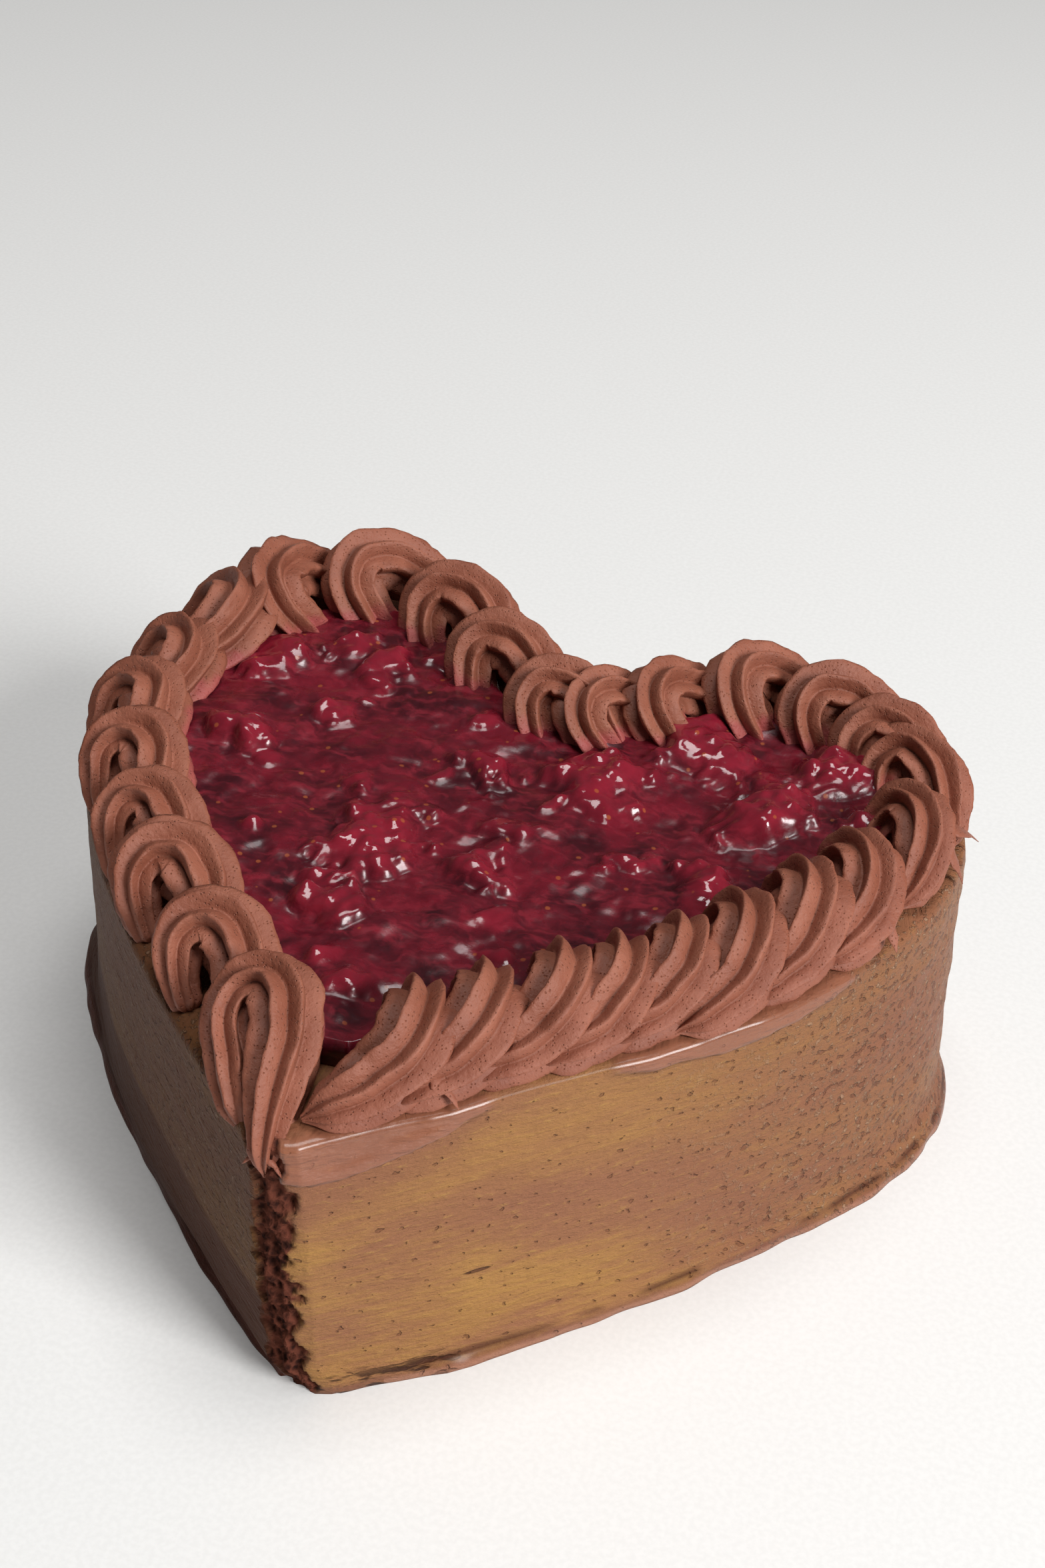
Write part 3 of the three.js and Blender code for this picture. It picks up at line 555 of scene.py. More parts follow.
# ------------------------------------------------------------------ piped cream
def bead_tree():
    """Sweeps the star nozzle's bead along a curve and sets it on the cake."""
    tree = bpy.data.node_groups.new("piped bead", "GeometryNodeTree")
    tree.is_modifier = True
    face = tree.interface
    face.new_socket("Way", in_out="INPUT", socket_type="NodeSocketGeometry")
    inputs = (
        ("Rings", "NodeSocketInt"), ("Around", "NodeSocketInt"), ("Ridges", "NodeSocketFloat"),
        ("Crest", "NodeSocketFloat"), ("Groove", "NodeSocketFloat"),
        ("Twist", "NodeSocketFloat"), ("Lean", "NodeSocketFloat"),
        ("Clearance", "NodeSocketFloat"), ("Core Back", "NodeSocketVector"),
        ("Core Front", "NodeSocketVector"), ("Ragged", "NodeSocketFloat"),
        ("Seed", "NodeSocketFloat"), ("Size", "NodeSocketFloat"),
        ("Heading", "NodeSocketFloat"), ("Place", "NodeSocketVector"),
        ("Cream", "NodeSocketMaterial"),
    )
    for name, kind in inputs:
        face.new_socket(name, in_out="INPUT", socket_type=kind)
    face.new_socket("Piece", in_out="OUTPUT", socket_type="NodeSocketGeometry")
    net = Net(tree)
    source = net.add("NodeGroupInput", out=None)
    given = {s.name: Wire(net, s) for s in source.outputs if s.name}

    index = net.add("GeometryNodeInputIndex")
    share = index / (given["Rings"] - 1)
    along = net.add(
        "GeometryNodeCaptureAttribute",
        {"domain": "POINT", "items": (("VECTOR", "Centre"), ("VECTOR", "Tangent"),
                                      ("VECTOR", "Across"), ("FLOAT", "Bead"),
                                      ("FLOAT", "Share"))},
        {"Geometry": given["Way"], "Centre": net.add("GeometryNodeInputPosition"),
         "Tangent": net.add("GeometryNodeInputTangent"),
         "Across": net.add("GeometryNodeInputNormal"),
         "Bead": net.add("GeometryNodeInputRadius"), "Share": share}, out=None)
    ring = net.add("GeometryNodeCurvePrimitiveCircle", {"mode": "RADIUS"},
                   {"Resolution": given["Around"], "Radius": 1.0})
    round_share = net.add("GeometryNodeInputIndex") / given["Around"]
    profile = net.add("GeometryNodeCaptureAttribute",
                      {"domain": "POINT", "items": (("FLOAT", "Round"),)},
                      {"Geometry": ring, "Round": round_share}, out=None)
    skin = net.add("GeometryNodeCurveToMesh", {},
                   {"Curve": Wire(net, along.outputs["Geometry"]),
                    "Profile Curve": Wire(net, profile.outputs["Geometry"]),
                    "Fill Caps": True})
    centre, tangent, across, bead, share = (Wire(net, along.outputs[name]) for name in
                                            ("Centre", "Tangent", "Across", "Bead", "Share"))
    turn = Wire(net, profile.outputs["Round"])

    # The way from the bead's middle to the core that it curls round.
    angle = turn * (2 * math.pi) + given["Twist"] * share
    spoke = across * net.sum("COSINE", angle) + net.cross(tangent, across) * net.sum(
        "SINE", angle)
    core = given["Core Front"] - given["Core Back"]
    on_core = net.clamp(net.dot(centre - given["Core Back"], core) / net.dot(core, core))
    inward = given["Core Back"] + core * on_core - centre
    inward = inward - tangent * net.dot(inward, tangent)
    room = net.sum("MAXIMUM", net.length(inward) - given["Clearance"], 0.2)
    tuck = 1 - net.clamp(room / (bead * (1 + given["Crest"])))
    inward = net.unit(inward)
    outer = net.smooth(-net.dot(spoke, inward), -0.4, 0.7)

    # The ridges: a leaning crest, broad on one side and steep on the other.
    wander = net.noise(centre + given["Seed"] * 31.0, 0.09, 1) - 0.5
    phase = net.sum("FRACT", turn * given["Ridges"] + 0.5 + wander * 0.6) - 0.5
    lean = given["Lean"]
    slow = net.clamp((lean - phase) / (lean + 0.5))
    steep = net.clamp((phase - lean) / (0.5 - lean))
    ridge = 1 - slow ** (1.5 - outer * 0.5) - steep ** (1.5 - outer * 0.55)
    uneven = net.noise(centre * 0.5 + net.vector(turn * 9.0, given["Seed"], 0.0), 0.4, 2) - 0.5
    full = 0.5 + net.smooth(share, 0.0, 0.22) * 0.5
    each = net.noise(net.vector(given["Seed"] * 7.3, 0.0, 0.0), 1.0, 1)
    full = full * (0.7 + each * 0.5)
    depth = (given["Crest"] + given["Groove"]) * (1 + uneven * 0.7) * full
    ends = net.smooth(share, -0.03, 0.04) * net.smooth(1 - share, -0.03, 0.1)
    radius = bead * (1 - given["Groove"] * full + depth * ridge) * (0.12 + 0.88 * ends)

    spoke = spoke * radius
    spoke = spoke - inward * (net.sum("MAXIMUM", net.dot(spoke, inward), 0.0) * tuck)

    # Fine raggedness, strongest on the crests.
    spot = (centre + spoke) + given["Seed"] * 17.0
    rough = net.noise(spot, 0.55, 3, 0.6) - 0.5
    soft = net.noise(spot, 0.16, 2, 0.5) - 0.5
    shove = given["Ragged"] * (rough * (0.35 + ridge * 0.65) + soft * 2.4)
    placed = centre + spoke + net.unit(spoke) * shove
    skin = net.add("GeometryNodeSetPosition", {}, {"Geometry": skin, "Position": placed})

    size = given["Size"] * MM
    skin = net.add("GeometryNodeTransform", {},
                   {"Geometry": skin, "Scale": net.vector(size, size, size)})
    spin = net.add("FunctionNodeEulerToRotation", {},
                   {"Euler": net.vector(0.0, 0.0, given["Heading"])})
    skin = net.add("GeometryNodeTransform", {},
                   {"Geometry": skin, "Translation": given["Place"] * MM, "Rotation": spin})
    skin = net.add("GeometryNodeSetShadeSmooth", {}, {"Geometry": skin, "Shade Smooth": True})
    skin = net.add("GeometryNodeRealizeInstances", {}, {"Geometry": skin})
    skin = net.add("GeometryNodeSetMaterial", {}, {"Geometry": skin, "Material": given["Cream"]})
    net.add("NodeGroupOutput", {}, {"Piece": skin}, out=None)
    return tree


def way_curve(name, way, rings):
    """The nozzle's way as a curve of one spline, with the bead's radius at each point."""
    way = np.array(way, float)
    padded = np.concatenate([[2 * way[0] - way[1]], way, [2 * way[-1] - way[-2]]])
    points = []
    for t in np.linspace(0, len(way) - 1, rings):
        k = min(int(t), len(way) - 2)
        f = t - k
        p0, p1, p2, p3 = padded[k:k + 4]
        points.append(0.5 * (2 * p1 + (p2 - p0) * f + (2 * p0 - 5 * p1 + 4 * p2 - p3) * f**2
                             + (3 * p1 - p0 - 3 * p2 + p3) * f**3))
    curve = bpy.data.curves.new(name, "CURVE")
    curve.dimensions = "3D"
    curve.twist_mode = "MINIMUM"
    spline = curve.splines.new("POLY")
    spline.points.add(rings - 1)
    for point, (x, y, z, bead) in zip(spline.points, points):
        point.co = (x, y, z, 1)
        point.radius = bead
    return curve


def run_tree(holder, tree, values):
    """The tree's result as a plain mesh, with the modifier and its holder removed."""
    bpy.context.scene.collection.objects.link(holder)
    modifier = holder.modifiers.new("build", "NODES")
    modifier.node_group = tree
    for item in tree.interface.items_tree:
        if item.in_out == "INPUT" and item.name in values:
            modifier[item.identifier] = values[item.name]
    graph = bpy.context.evaluated_depsgraph_get()
    mesh = bpy.data.meshes.new_from_object(holder.evaluated_get(graph))
    holder.modifiers.remove(modifier)
    bpy.data.objects.remove(holder)
    return mesh


def shell_places():
    draw = chance_from(PLACES_SEED)
    border = Border()
    places = []
    for chain in CHAINS:
        share = chain["start"]
        for k, (step, size) in enumerate(zip(chain["steps"], chain["sizes"])):
            share = (share + chain["turn"] * step / border.length + 1) % 1
            here, ahead = border.at(share)
            ahead = ahead * chain["turn"]
            size = size + draw(-UNEVEN_SIZE, UNEVEN_SIZE)
            shift = draw(-UNEVEN_SHIFT, UNEVEN_SHIFT)
            here = here + np.array([-ahead[1], ahead[0]]) * shift
            heading = math.atan2(ahead[1], ahead[0]) + draw(-UNEVEN_YAW, UNEVEN_YAW)
            places.append(dict(name=f"{chain['name']}_{k + 1:02d}", at=here, size=size,
                               heading=heading, way=chain["ways"][k][0], core=chain["ways"][k][1]))
    tip = np.array(TIP_PLACE, float) - CENTRE
    places.append(dict(name="shell_tip", at=tip, size=1.0, heading=math.radians(TIP_HEADING),
                       way=TIP_WAY, core=TIP_CORE))
    return places


def crest_of(place):
    along, left, up, _ = place["way"][CREST]
    turned = Matrix.Rotation(place["heading"], 3, "Z") @ Vector((along, left, up))
    return np.array(turned) * place["size"] + np.array([*place["at"], CAKE_HEIGHT])


def add_flake(mesh, root, point, width):
    """A thin ragged tongue of cream, bent upward, from inside the shell to its point."""
    tip = np.array(point, float) - np.array([*CENTRE, 0])
    way = tip - root
    side = np.cross(way, (0, 0, 1.0))
    side /= np.linalg.norm(side)
    thick = np.cross(side, way)
    thick /= np.linalg.norm(thick)
    share = np.linspace(0, 1, FLAKE_RINGS)
    turn = np.linspace(0, 2 * math.pi, FLAKE_AROUND, endpoint=False)
    broad = width * (1 - share) ** 1.15 + FLAKE_POINT
    bend = FLAKE_BEND * np.sin(math.pi * share)
    middle = root + way * share[:, None] + thick * bend[:, None]
    torn = [wave_noise(np.column_stack([share * 9, 0 * share, 0 * share + tip[0]]), 2.4, seed)
            for seed in (71, 72)]
    points = []
    for k in range(FLAKE_RINGS):
        for angle in turn:
            edge = 1 + 0.3 * torn[math.cos(angle) > 0][k]
            across = broad[k] * edge * math.cos(angle)
            sag = 0.5 * (across / width) ** 2
            up = (FLAKE_THICK * (1.1 - share[k])) * math.sin(angle) - sag * width * 0.4
            points.append(middle[k] + side * across + thick * up)
    faces = ring_faces(FLAKE_RINGS, FLAKE_AROUND)
    faces.append(tuple(range(FLAKE_AROUND))[::-1])
    faces.append(tuple(range((FLAKE_RINGS - 1) * FLAKE_AROUND, FLAKE_RINGS * FLAKE_AROUND)))
    shape = bmesh.new()
    shape.from_mesh(mesh)
    corners = [shape.verts.new(tuple(at * MM)) for at in points]
    made = [shape.faces.new([corners[i] for i in face]) for face in faces]
    bmesh.ops.recalc_face_normals(shape, faces=made)
    for face in made:
        face.smooth = True
    shape.to_mesh(mesh)
    shape.free()


def stain_foot(mesh, edge):
    """Marks where the compote has coloured the foot of a shell."""
    spots = np.array([corner.co[:] for corner in mesh.vertices]) / MM
    depth, _ = edge_depth(spots[:, :2], edge)
    wander = wave_noise(spots, 6, 21, 2)
    wet = np.clip((depth + 2.2) / 2, 0, 1)
    low = np.clip((COMPOTE_TOP + 2.4 + wander - spots[:, 2]) / 2.0, 0, 1)
    layer = mesh.attributes.new("stain", "FLOAT", "POINT")
    layer.data.foreach_set("value", (wet * low).astype(np.float32))


def pipe_shells(cream):
    tree = bead_tree()
    places = shell_places()
    crests = [crest_of(place) for place in places]
    edge = compote_edge()
    homes = {}
    for point, width in FLAKES:
        spot = np.array(point[:2]) - CENTRE
        nearest = min(range(len(crests)), key=lambda k: np.hypot(*(crests[k][:2] - spot)))
        homes.setdefault(nearest, []).append((point, width))
    for k, place in enumerate(places):
        curve = way_curve(place["name"] + "_way", place["way"], BEAD_RINGS)
        holder = bpy.data.objects.new(place["name"] + "_way", curve)
        mesh = run_tree(holder, tree, {
            "Rings": BEAD_RINGS, "Around": BEAD_AROUND, "Ridges": float(RIDGES),
            "Crest": RIDGE_CREST, "Groove": RIDGE_GROOVE, "Twist": RIDGE_TWIST, "Lean": RIDGE_LEAN,
            "Clearance": CORE_CLEARANCE, "Core Back": place["core"][0],
            "Core Front": place["core"][1], "Ragged": CREAM_RAGGED, "Seed": float(k + 1),
            "Size": place["size"], "Heading": place["heading"],
            "Place": (*place["at"], CAKE_HEIGHT), "Cream": cream,
        })
        bpy.data.curves.remove(curve)
        for point, width in homes.get(k, []):
            add_flake(mesh, crests[k], point, width)
        if place["name"] == "shell_tip":
            root = np.array(CURL["root"]) - np.array([*CENTRE, 0])
            add_flake(mesh, root, CURL["point"], CURL["width"])
        stain_foot(mesh, edge)
        piece = bpy.data.objects.new("piped_" + place["name"], mesh)
        bpy.context.scene.collection.objects.link(piece)
        fit_to_body(piece, "cream", place["name"])


# ------------------------------------------------------------------ compote
COMPOTE_INSET = 3.0
COMPOTE_LEVEL = 6.0
COMPOTE_TOP = CAKE_HEIGHT + COMPOTE_LEVEL
COMPOTE_FLOOR = CAKE_HEIGHT + 0.3
COMPOTE_POINTS = 40
SWELL_DEPTH, SWELL_ACROSS, SWELL_ALONG = 0.8, 9.0, 8.0
COMPOTE_CELL = 0.62  # size of one face of the compote's skin
DRUPELET, DRUPELET_HEIGHT = 3.8, 1.3
THREAD_HEIGHT, WAVE_HEIGHT = 0.28, 3.6
LARGE_BERRIES = (  # place from the tip, radius, and rise over the level
    ((18, 104), 9, 2.8), ((-16, 72), 10, 3), ((-4, 102), 5.5, 3), ((-58, 124), 7.5, 3.6),
    ((50, 104), 8, 4), ((-52, 95), 5.5, 3), ((38, 119), 7, 3), ((-17, 53), 5.5, 2.6),
    ((5, 71), 6, 2.6), ((44, 82), 5, 2.6), ((-34, 130), 6, 2.4),
    ((30, 124), 8, 3.4), ((62, 124), 8, 3.6), ((74, 108), 7, 3),
)
SMALL_BERRIES, SMALLEST, LARGEST = 46, 2.0, 4.4
BERRY_SEED = 42


def compote_edge():
    border = Border()
    line = np.array([border.at(k / COMPOTE_POINTS)[0] for k in range(COMPOTE_POINTS)])
    return line - outward(line) * COMPOTE_INSET


def edge_depth(spots, edge):
    """How far each spot lies inside the closed edge, with the nearest point on it."""
    start, end = edge, np.roll(edge, -1, 0)
    way = end - start
    best = np.full(len(spots), 1e9)
    nearest = np.zeros_like(spots)
    inside = np.zeros(len(spots), bool)
    for a, b, w in zip(start, end, way):
        t = np.clip(((spots - a) @ w) / (w @ w), 0, 1)
        foot = a + t[:, None] * w
        reach = np.linalg.norm(spots - foot, axis=1)
        closer = reach < best
        best[closer] = reach[closer]
        nearest[closer] = foot[closer]
        crosses = (a[1] > spots[:, 1]) != (b[1] > spots[:, 1])
        with np.errstate(divide="ignore", invalid="ignore"):
            x = a[0] + (spots[:, 1] - a[1]) * w[0] / w[1]
        inside ^= crosses & (spots[:, 0] < x)
    return np.where(inside, best, -best), nearest


def berry_rises(spots):
    """The berries' rise over the level at each spot, and how much each spot is a berry."""
    draw = chance_from(BERRY_SEED)
    rise = np.zeros(len(spots))
    lump = np.zeros(len(spots))
    berries = [(np.array(at) - CENTRE, radius, top) for at, radius, top in LARGE_BERRIES]
    low, high = spots.min(0), spots.max(0)
    while len(berries) < len(LARGE_BERRIES) + SMALL_BERRIES:
        at = np.array([draw(low[0], high[0]), draw(low[1], high[1])])
        radius = draw(SMALLEST, LARGEST)
        if all(np.linalg.norm(at - other) > 0.8 * (radius + r) for other, r, _ in berries):
            berries.append((at, radius, 0.36 * radius))
    flat = np.column_stack([spots, 0 * spots[:, 0]])
    warp = np.column_stack([wave_noise(flat, 11, seed, 3) for seed in (61, 62)])
    for at, radius, top in berries:
        turn, broad = draw(0, math.pi), draw(0.75, 1.3)
        across = spots - at + warp * min(0.32 * radius, 2.2)
        u = (across[:, 0] * math.cos(turn) + across[:, 1] * math.sin(turn)) / broad
        v = (across[:, 1] * math.cos(turn) - across[:, 0] * math.sin(turn)) * broad
        far = (u * u + v * v) / (radius * radius)
        here = top * np.clip(1 - far / 1.5, 0, None) ** 0.8
        rise = np.maximum(rise, here) + 0.25 * np.minimum(rise, here)
        lump = np.maximum(lump, np.clip(1.3 - far, 0, 1))
    return rise, lump


def compote_relief_tree():
    """Raises drupelets, threads and waves on the compote's skin."""
    tree = bpy.data.node_groups.new("compote relief", "GeometryNodeTree")
    tree.is_modifier = True
    face = tree.interface
    face.new_socket("Skin", in_out="INPUT", socket_type="NodeSocketGeometry")
    for name, kind in (("Drupelet", "NodeSocketFloat"), ("Drupelet Height", "NodeSocketFloat"),
                       ("Thread Height", "NodeSocketFloat"), ("Wave Height", "NodeSocketFloat"),
                       ("Syrup", "NodeSocketMaterial")):
        face.new_socket(name, in_out="INPUT", socket_type=kind)
    face.new_socket("Piece", in_out="OUTPUT", socket_type="NodeSocketGeometry")
    net = Net(tree)
    source = net.add("NodeGroupInput", out=None)
    given = {s.name: Wire(net, s) for s in source.outputs if s.name}
    place = net.add("GeometryNodeInputPosition") / MM
    lump = net.add("GeometryNodeInputNamedAttribute", {"data_type": "FLOAT"}, {"Name": "lump"})
    free = net.add("GeometryNodeInputNamedAttribute", {"data_type": "FLOAT"}, {"Name": "free"})
    warp = (net.noise(place, 0.15, 2, out="Color") - (0.5, 0.5, 0.5)) * 6.0
    cell = net.cells(place + warp * 0.35, 1 / given["Drupelet"])
    bead = 1 - net.smooth(cell, 0.0, 0.85)
    patch = net.smooth(net.noise(place, 0.11, 2), 0.4, 0.6)
    drupelets = bead * given["Drupelet Height"] * net.clamp(patch * 0.3 + lump * patch * 1.3)
    threads = net.noise((place + warp * 2.0) * (0.4, 1.0, 1.0), 0.5, 4, 0.6) - 0.5
    waves = net.noise(place + warp, 0.1, 2, 0.5) - 0.5
    lift = drupelets + threads * given["Thread Height"] + waves * given["Wave Height"]
    moved = net.add("GeometryNodeSetPosition", {},
                    {"Geometry": given["Skin"],
                     "Offset": net.vector(0.0, 0.0, lift * free * MM)})
    smooth = net.add("GeometryNodeSetShadeSmooth", {}, {"Geometry": moved, "Shade Smooth": True})
    whole = net.add("GeometryNodeRealizeInstances", {}, {"Geometry": smooth})
    done = net.add("GeometryNodeSetMaterial", {}, {"Geometry": whole,
                                                   "Material": given["Syrup"]})
    net.add("NodeGroupOutput", {}, {"Piece": done}, out=None)
    return tree


def spoon_compote(syrup):
    edge = compote_edge()
    low, high = edge.min(0) - 1, edge.max(0) + 1
    xs = np.arange(low[0], high[0], COMPOTE_CELL)
    ys = np.arange(low[1], high[1], COMPOTE_CELL)
    spots = np.stack(np.meshgrid(xs, ys, indexing="ij"), -1).reshape(-1, 2)
    depth, nearest = edge_depth(spots, edge)
    near = (depth <= 0) & (depth > -COMPOTE_CELL * 0.75)
    spots[near] = nearest[near]
    kept = depth > -COMPOTE_CELL * 0.75
    rise, lump = berry_rises(spots)
    wave = np.sin(spots[:, 0] / SWELL_ACROSS + spots[:, 1] / (2 * SWELL_ALONG))
    crosswave = np.cos(spots[:, 1] / SWELL_ALONG - spots[:, 0] / (2 * SWELL_ACROSS))
    level = COMPOTE_TOP - SWELL_DEPTH * (1 - wave * crosswave)
    free = np.clip(depth / 5, 0, 1)
    height = COMPOTE_TOP + (level - COMPOTE_TOP) * free + rise * np.clip(depth / 1.5, 0, 1)
    index = np.arange(len(spots)).reshape(len(xs), len(ys))
    quads = np.stack([index[:-1, :-1], index[1:, :-1], index[1:, 1:], index[:-1, 1:]], -1)
    quads = quads.reshape(-1, 4)
    quads = quads[kept[quads].all(1)]
    shape = bmesh.new()
    layers = [shape.verts.layers.float.new(name) for name in ("lump", "free")]
    used = np.unique(quads)
    corners = {}
    for k in used.tolist():
        corner = shape.verts.new((spots[k, 0] * MM, spots[k, 1] * MM, height[k] * MM))
        corner[layers[0]] = lump[k]
        corner[layers[1]] = free[k]
        corners[k] = corner
    for quad in quads.tolist():
        shape.faces.new([corners[k] for k in quad])
    rim = [e for e in shape.edges if e.is_boundary]
    skirt = bmesh.ops.extrude_edge_only(shape, edges=rim)["geom"]
    for corner in [g for g in skirt if isinstance(g, bmesh.types.BMVert)]:
        corner.co.z = COMPOTE_FLOOR * MM
    bottom = [e for e in skirt if isinstance(e, bmesh.types.BMEdge) and e.is_boundary]
    bmesh.ops.triangle_fill(shape, edges=bottom, use_beauty=False)
    bmesh.ops.recalc_face_normals(shape, faces=shape.faces)
    mesh = bpy.data.meshes.new("compote_skin")
    shape.to_mesh(mesh)
    shape.free()
    holder = bpy.data.objects.new("compote_skin", mesh)
    made = run_tree(holder, compote_relief_tree(), {
        "Drupelet": DRUPELET, "Drupelet Height": DRUPELET_HEIGHT,
        "Thread Height": THREAD_HEIGHT, "Wave Height": WAVE_HEIGHT,
        "Syrup": syrup,
    })
    piece = bpy.data.objects.new("berry_compote", made)
    bpy.context.scene.collection.objects.link(piece)
    fit_to_body(piece, "compote", "compote")


# ------------------------------------------------------------------ glazed cake
# Heights of the wall and the share of the way there from the foot's outline to the top's.
WALL_Z = (0, 1.6, 3.6, 6, 30, 50, 53, 57, 60)
WALL_SHARE = (0, 0, 0.2, 0.5, 0.75, 0.93, 0.95, 0.98, 1.1)
WALL_MARKS = ((92, 55.6, 1.3, 0.6), (34, 21, 2.6, 0.4))  # run, height, half width, half height
COLLAR_SAG = 1.4
COLLAR_LOW = (  # the fold's lower edge: how far from the tip, and its height
    (0, 54.5), (6, 53), (18, 53.4), (30, 55.8), (38, 58.4), (54, 59), (62, 57.4), (84, 56.6),
    (104, 57), (118, 59), (200, 60),
)
TOP_EDGE = ((0.12, 0.6), (0.45, 1.1), (1.0, 1.45), (1.8, 1.6))
WALL_RINGS = 92
WALL_CELL, WIDE_GAP = 0.5, 1.0  # a wide gap between points is cut into cells


def wave_noise(points, scale, seed, octaves=3, stretch=(1, 1, 1)):
    """Smooth noise between about -1 and 1 at each point."""
    total = np.zeros(len(points))
    draw = chance_from(seed)
    spot = points * np.array(stretch) / scale
    size = 1.0
    for _ in range(octaves):
        for _ in range(4):
            way = np.array([draw(-1, 1) for _ in range(3)])
            way /= np.linalg.norm(way)
            total += size * np.sin(spot @ (way * 2 * math.pi) + draw(0, 2 * math.pi)) / 2.2
        size *= 0.5
        spot = spot * 2.03
    return total


def evened(foot, top):
    """Both outlines with points put in where the top's lie far apart."""
    count = len(top)
    gaps = np.linalg.norm(np.roll(top, -1, 0) - top, axis=1)
    cuts = np.where(gaps > WIDE_GAP, np.ceil(gaps / WALL_CELL), 1).astype(int)
    stops = np.concatenate([k + np.arange(n) / n for k, n in enumerate(cuts)])
    return [np.column_stack([np.interp(stops, np.arange(count + 1), np.append(line, line[0]))
                             for line in outline.T]) for outline in (foot, top)]


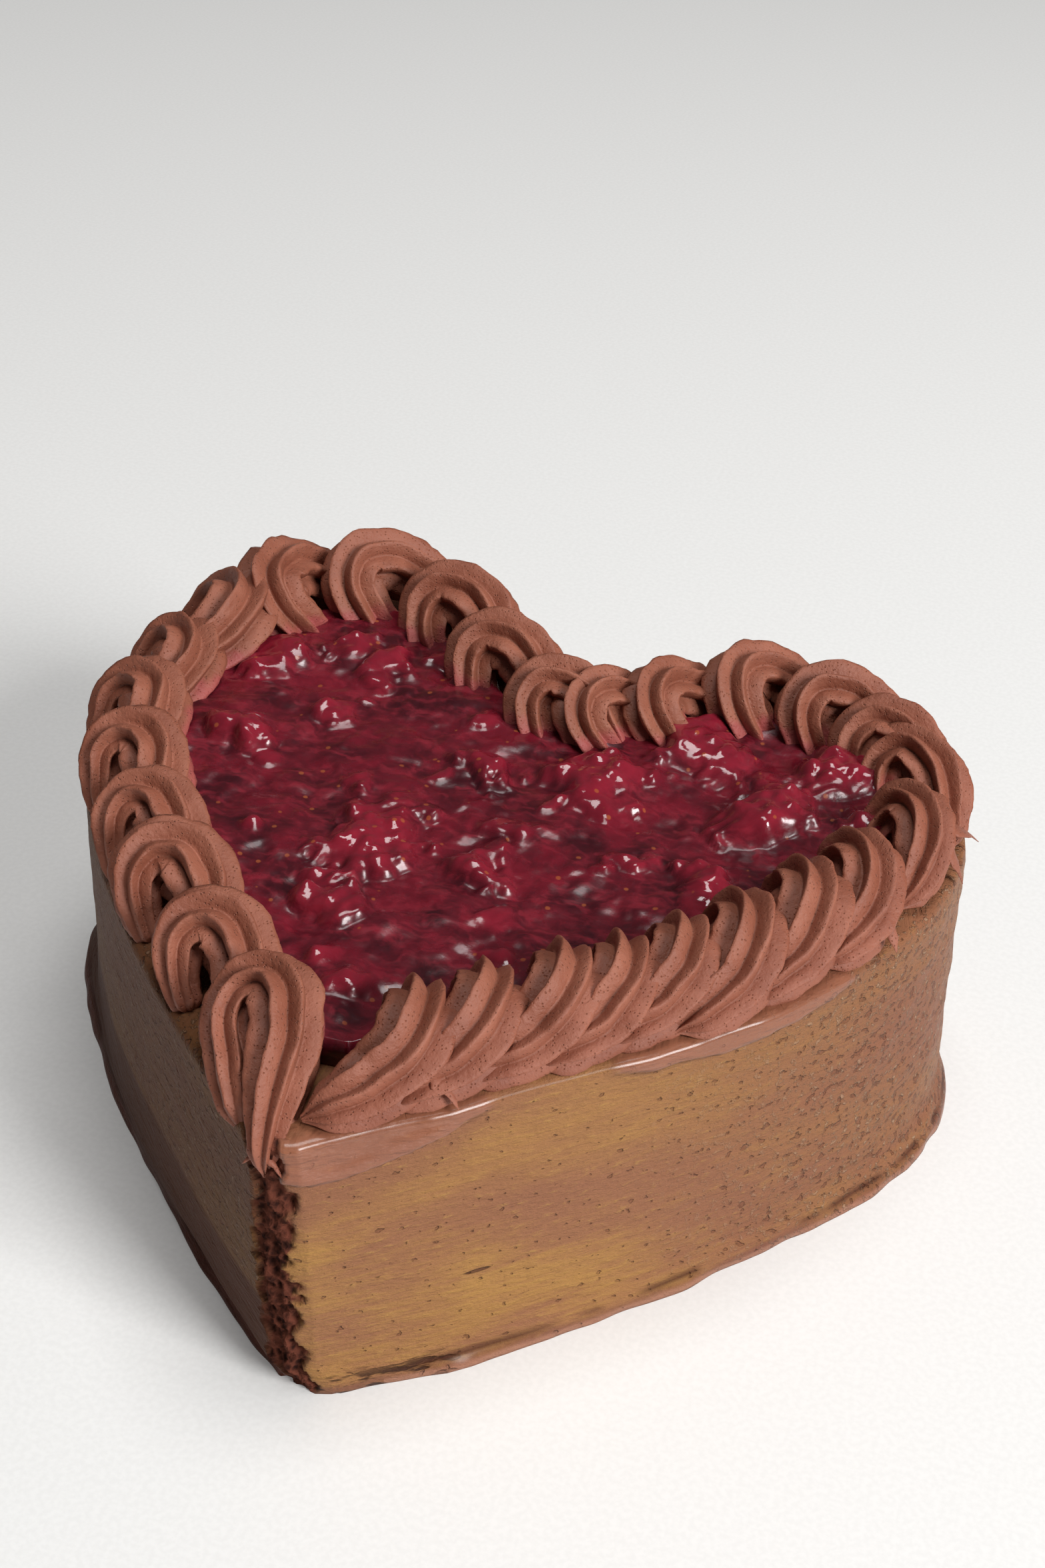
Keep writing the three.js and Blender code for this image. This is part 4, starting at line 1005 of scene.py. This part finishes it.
def spread_glaze(glaze):
    foot, top = evened(heart_outline(FOOT, FINE_STEPS), heart_outline(TOP, FINE_STEPS))
    normals = outward(top)
    for _ in range(12):
        normals = (np.roll(normals, 1, 0) + normals + np.roll(normals, -1, 0)) / 3
    normals /= np.linalg.norm(normals, axis=1, keepdims=True)
    around = len(top)
    gaps = np.linalg.norm(np.roll(top, -1, 0) - top, axis=1)
    run = np.concatenate([[0], np.cumsum(gaps)])[:-1]
    whole = gaps.sum()
    heights = np.concatenate([np.linspace(0, 4, 9),
                              np.linspace(4, CAKE_HEIGHT - 1.6, WALL_RINGS)[1:]])
    front = np.clip((normals[:, 0] - normals[:, 1] - 0.6) / 0.6, 0, 1)
    to_tip = np.minimum(run, whole - run)
    along = np.column_stack([run, 0 * run, 0 * run])
    collar_low = (np.interp(run, *zip(*COLLAR_LOW)) + 0.5 * wave_noise(along, 24, 9, 3))
    foot_fold = wave_noise(along, 30, 7)
    lobe = np.clip((run - 60) / 60, 0, 1) * (run < whole / 2)
    rings, torn, pitted, runs, laps, fold_shadows = [], [], [], [], [], []
    for z in heights:
        share = np.interp(z, WALL_Z, WALL_SHARE)
        flat = foot + (top - foot) * share
        at = np.column_stack([flat, np.full(around, z)])
        walk = np.column_stack([run, np.full(around, z * 4.0), np.zeros(around)])
        push = 0.22 * wave_noise(at, 60, 3, 2) + 0.035 * wave_noise(walk, 16, 5)
        brushed = np.column_stack([run * 0.4, np.full(around, z), 0 * run])
        push += (0.05 + 0.1 * lobe) * wave_noise(brushed, 6, 25, 3)
        push += math.exp(-(z / 1.4) ** 2) * (0.5 + 0.5 * foot_fold) * (to_tip > 6)
        push -= 0.4 * math.exp(-((z - 3.0) / 0.9) ** 2) * np.clip(0.5 + foot_fold, 0, 1)
        under = z - collar_low
        collar = np.where(under > 0, np.exp(-(under / 3.6) ** 2), np.exp(-(under / 0.45) ** 2))
        strength = front * np.clip((59 - collar_low) / 3, 0, 1.2)
        push += COLLAR_SAG * strength * collar
        laps.append(front * np.clip(under / 0.5 + 0.5, 0, 1))
        # Painted shadow lines: under the collar's fold and above the foot's lip.
        fold_shadows.append(np.maximum(
            np.minimum(strength, 1) * np.exp(-((under + 0.6) / 0.5) ** 2),
            math.exp(-((z - 2.6) / 0.6) ** 2) * np.clip(0.6 + 1.5 * foot_fold, 0, 1)))
        # The torn strip down the tip.
        wander = 1.2 * wave_noise(np.column_stack([at[:, 2], 0 * run, 0 * run]), 30, 13, 2)
        ragged = wave_noise(at, 6, 15, 4)
        signed = np.where(run > whole / 2, run - whole, run)
        off = np.abs(signed + 1.6 - wander) - 3.6 - 1.1 * ragged
        bare = np.clip(0.5 - off / 0.7, 0, 1)
        push -= bare * (0.9 + 0.6 * wave_noise(at, 3.6, 17, 3))
        push[to_tip > 16] = np.clip(push, -0.8, 1.4)[to_tip > 16]
        flat = flat + normals * push[:, None]
        rings.append(np.column_stack([flat, np.full(around, z)]))
        torn.append(bare)
        left = np.clip((-normals[:, 0] + 0.2) * 2, 0, 1) * (z > 22)
        pitted.append(np.clip(left + lobe, 0, 1))
        runs.append(signed)
    rings = np.array(rings)
    points = rings.reshape(-1, 3)
    faces = ring_faces(len(heights), around)
    inward = np.column_stack([-normals, np.zeros(around)])
    inner = [rings[-1] + inward * back + (0, 0, lift) for back, lift in TOP_EDGE]
    points = np.concatenate([points, *inner])
    faces += ring_faces(len(inner) + 1, around, first=(len(heights) - 1) * around)
    last = len(points) - around
    faces.append(tuple(range(around))[::-1])
    faces.append(tuple(range(last, last + around)))
    extra = len(inner) * around
    piece = mesh_object("glazed_cake", points, faces, glaze)
    for name, values in (("torn", torn), ("pitted", pitted), ("run", runs), ("lap", laps),
                         ("fold_shadow", fold_shadows)):
        layer = piece.data.attributes.new(name, "FLOAT", "POINT")
        flat = np.concatenate([np.array(values).reshape(-1), np.tile(np.array(values)[-1],
                                                                      extra // around)])
        layer.data.foreach_set("value", flat.astype(np.float32))
    fit_to_body(piece, "glaze", "cake")


# ------------------------------------------------------------------ floor, light, camera
FLOOR_REACH = 3000


def lay_floor(material):
    corners = [(x * FLOOR_REACH, y * FLOOR_REACH, 0)
               for x, y in ((-1, -1), (1, -1), (1, 1), (-1, 1))]
    floor = mesh_object("floor", corners, [(0, 1, 2, 3)], material, smooth=False)


def soft_light(name, place, aim, size, watts, colour=(1, 1, 1)):
    lamp = bpy.data.lights.new(name, "AREA")
    lamp.shape = "RECTANGLE"
    lamp.size, lamp.size_y = size
    lamp.energy = watts
    lamp.color = colour
    holder = bpy.data.objects.new(name, lamp)
    holder.location = place
    holder.rotation_euler = (Vector(aim) - Vector(place)).to_track_quat("-Z", "Y").to_euler()
    bpy.context.scene.collection.objects.link(holder)


def light_room():
    world = bpy.data.worlds.new("studio")
    bpy.context.scene.world = world
    world.use_nodes = True
    world.node_tree.nodes["Background"].inputs["Color"].default_value = (0.95, 0.96, 1, 1)
    world.node_tree.nodes["Background"].inputs["Strength"].default_value = 0.07
    soft_light("key", (1.6, -0.7, 1.15), (0, 0, 0.05), (0.8, 0.8), 46)
    soft_light("top", (0.15, 0.1, 1.8), (0, 0, 0.05), (0.8, 0.8), 15)


def set_camera():
    right, ahead = Vector(CAMERA_RIGHT), Vector(CAMERA_AHEAD).normalized()
    right = (right - ahead * right.dot(ahead)).normalized()
    up = right.cross(ahead)
    data = bpy.data.cameras.new("camera")
    data.lens = CAMERA_LENS
    data.sensor_width = CAMERA_SENSOR
    data.clip_start = 0.01
    camera = bpy.data.objects.new("camera", data)
    turn = Matrix((right, up, -ahead)).transposed().to_4x4()
    camera.matrix_world = Matrix.Translation(Vector(CAMERA_PLACE) * MM) @ turn
    bpy.context.scene.collection.objects.link(camera)
    bpy.context.scene.camera = camera
    bpy.context.scene.view_settings.view_transform = "Standard"


spread_glaze(glaze_material())
spoon_compote(compote_material())
pipe_shells(cream_material())
lay_floor(floor_material())
light_room()
set_camera()
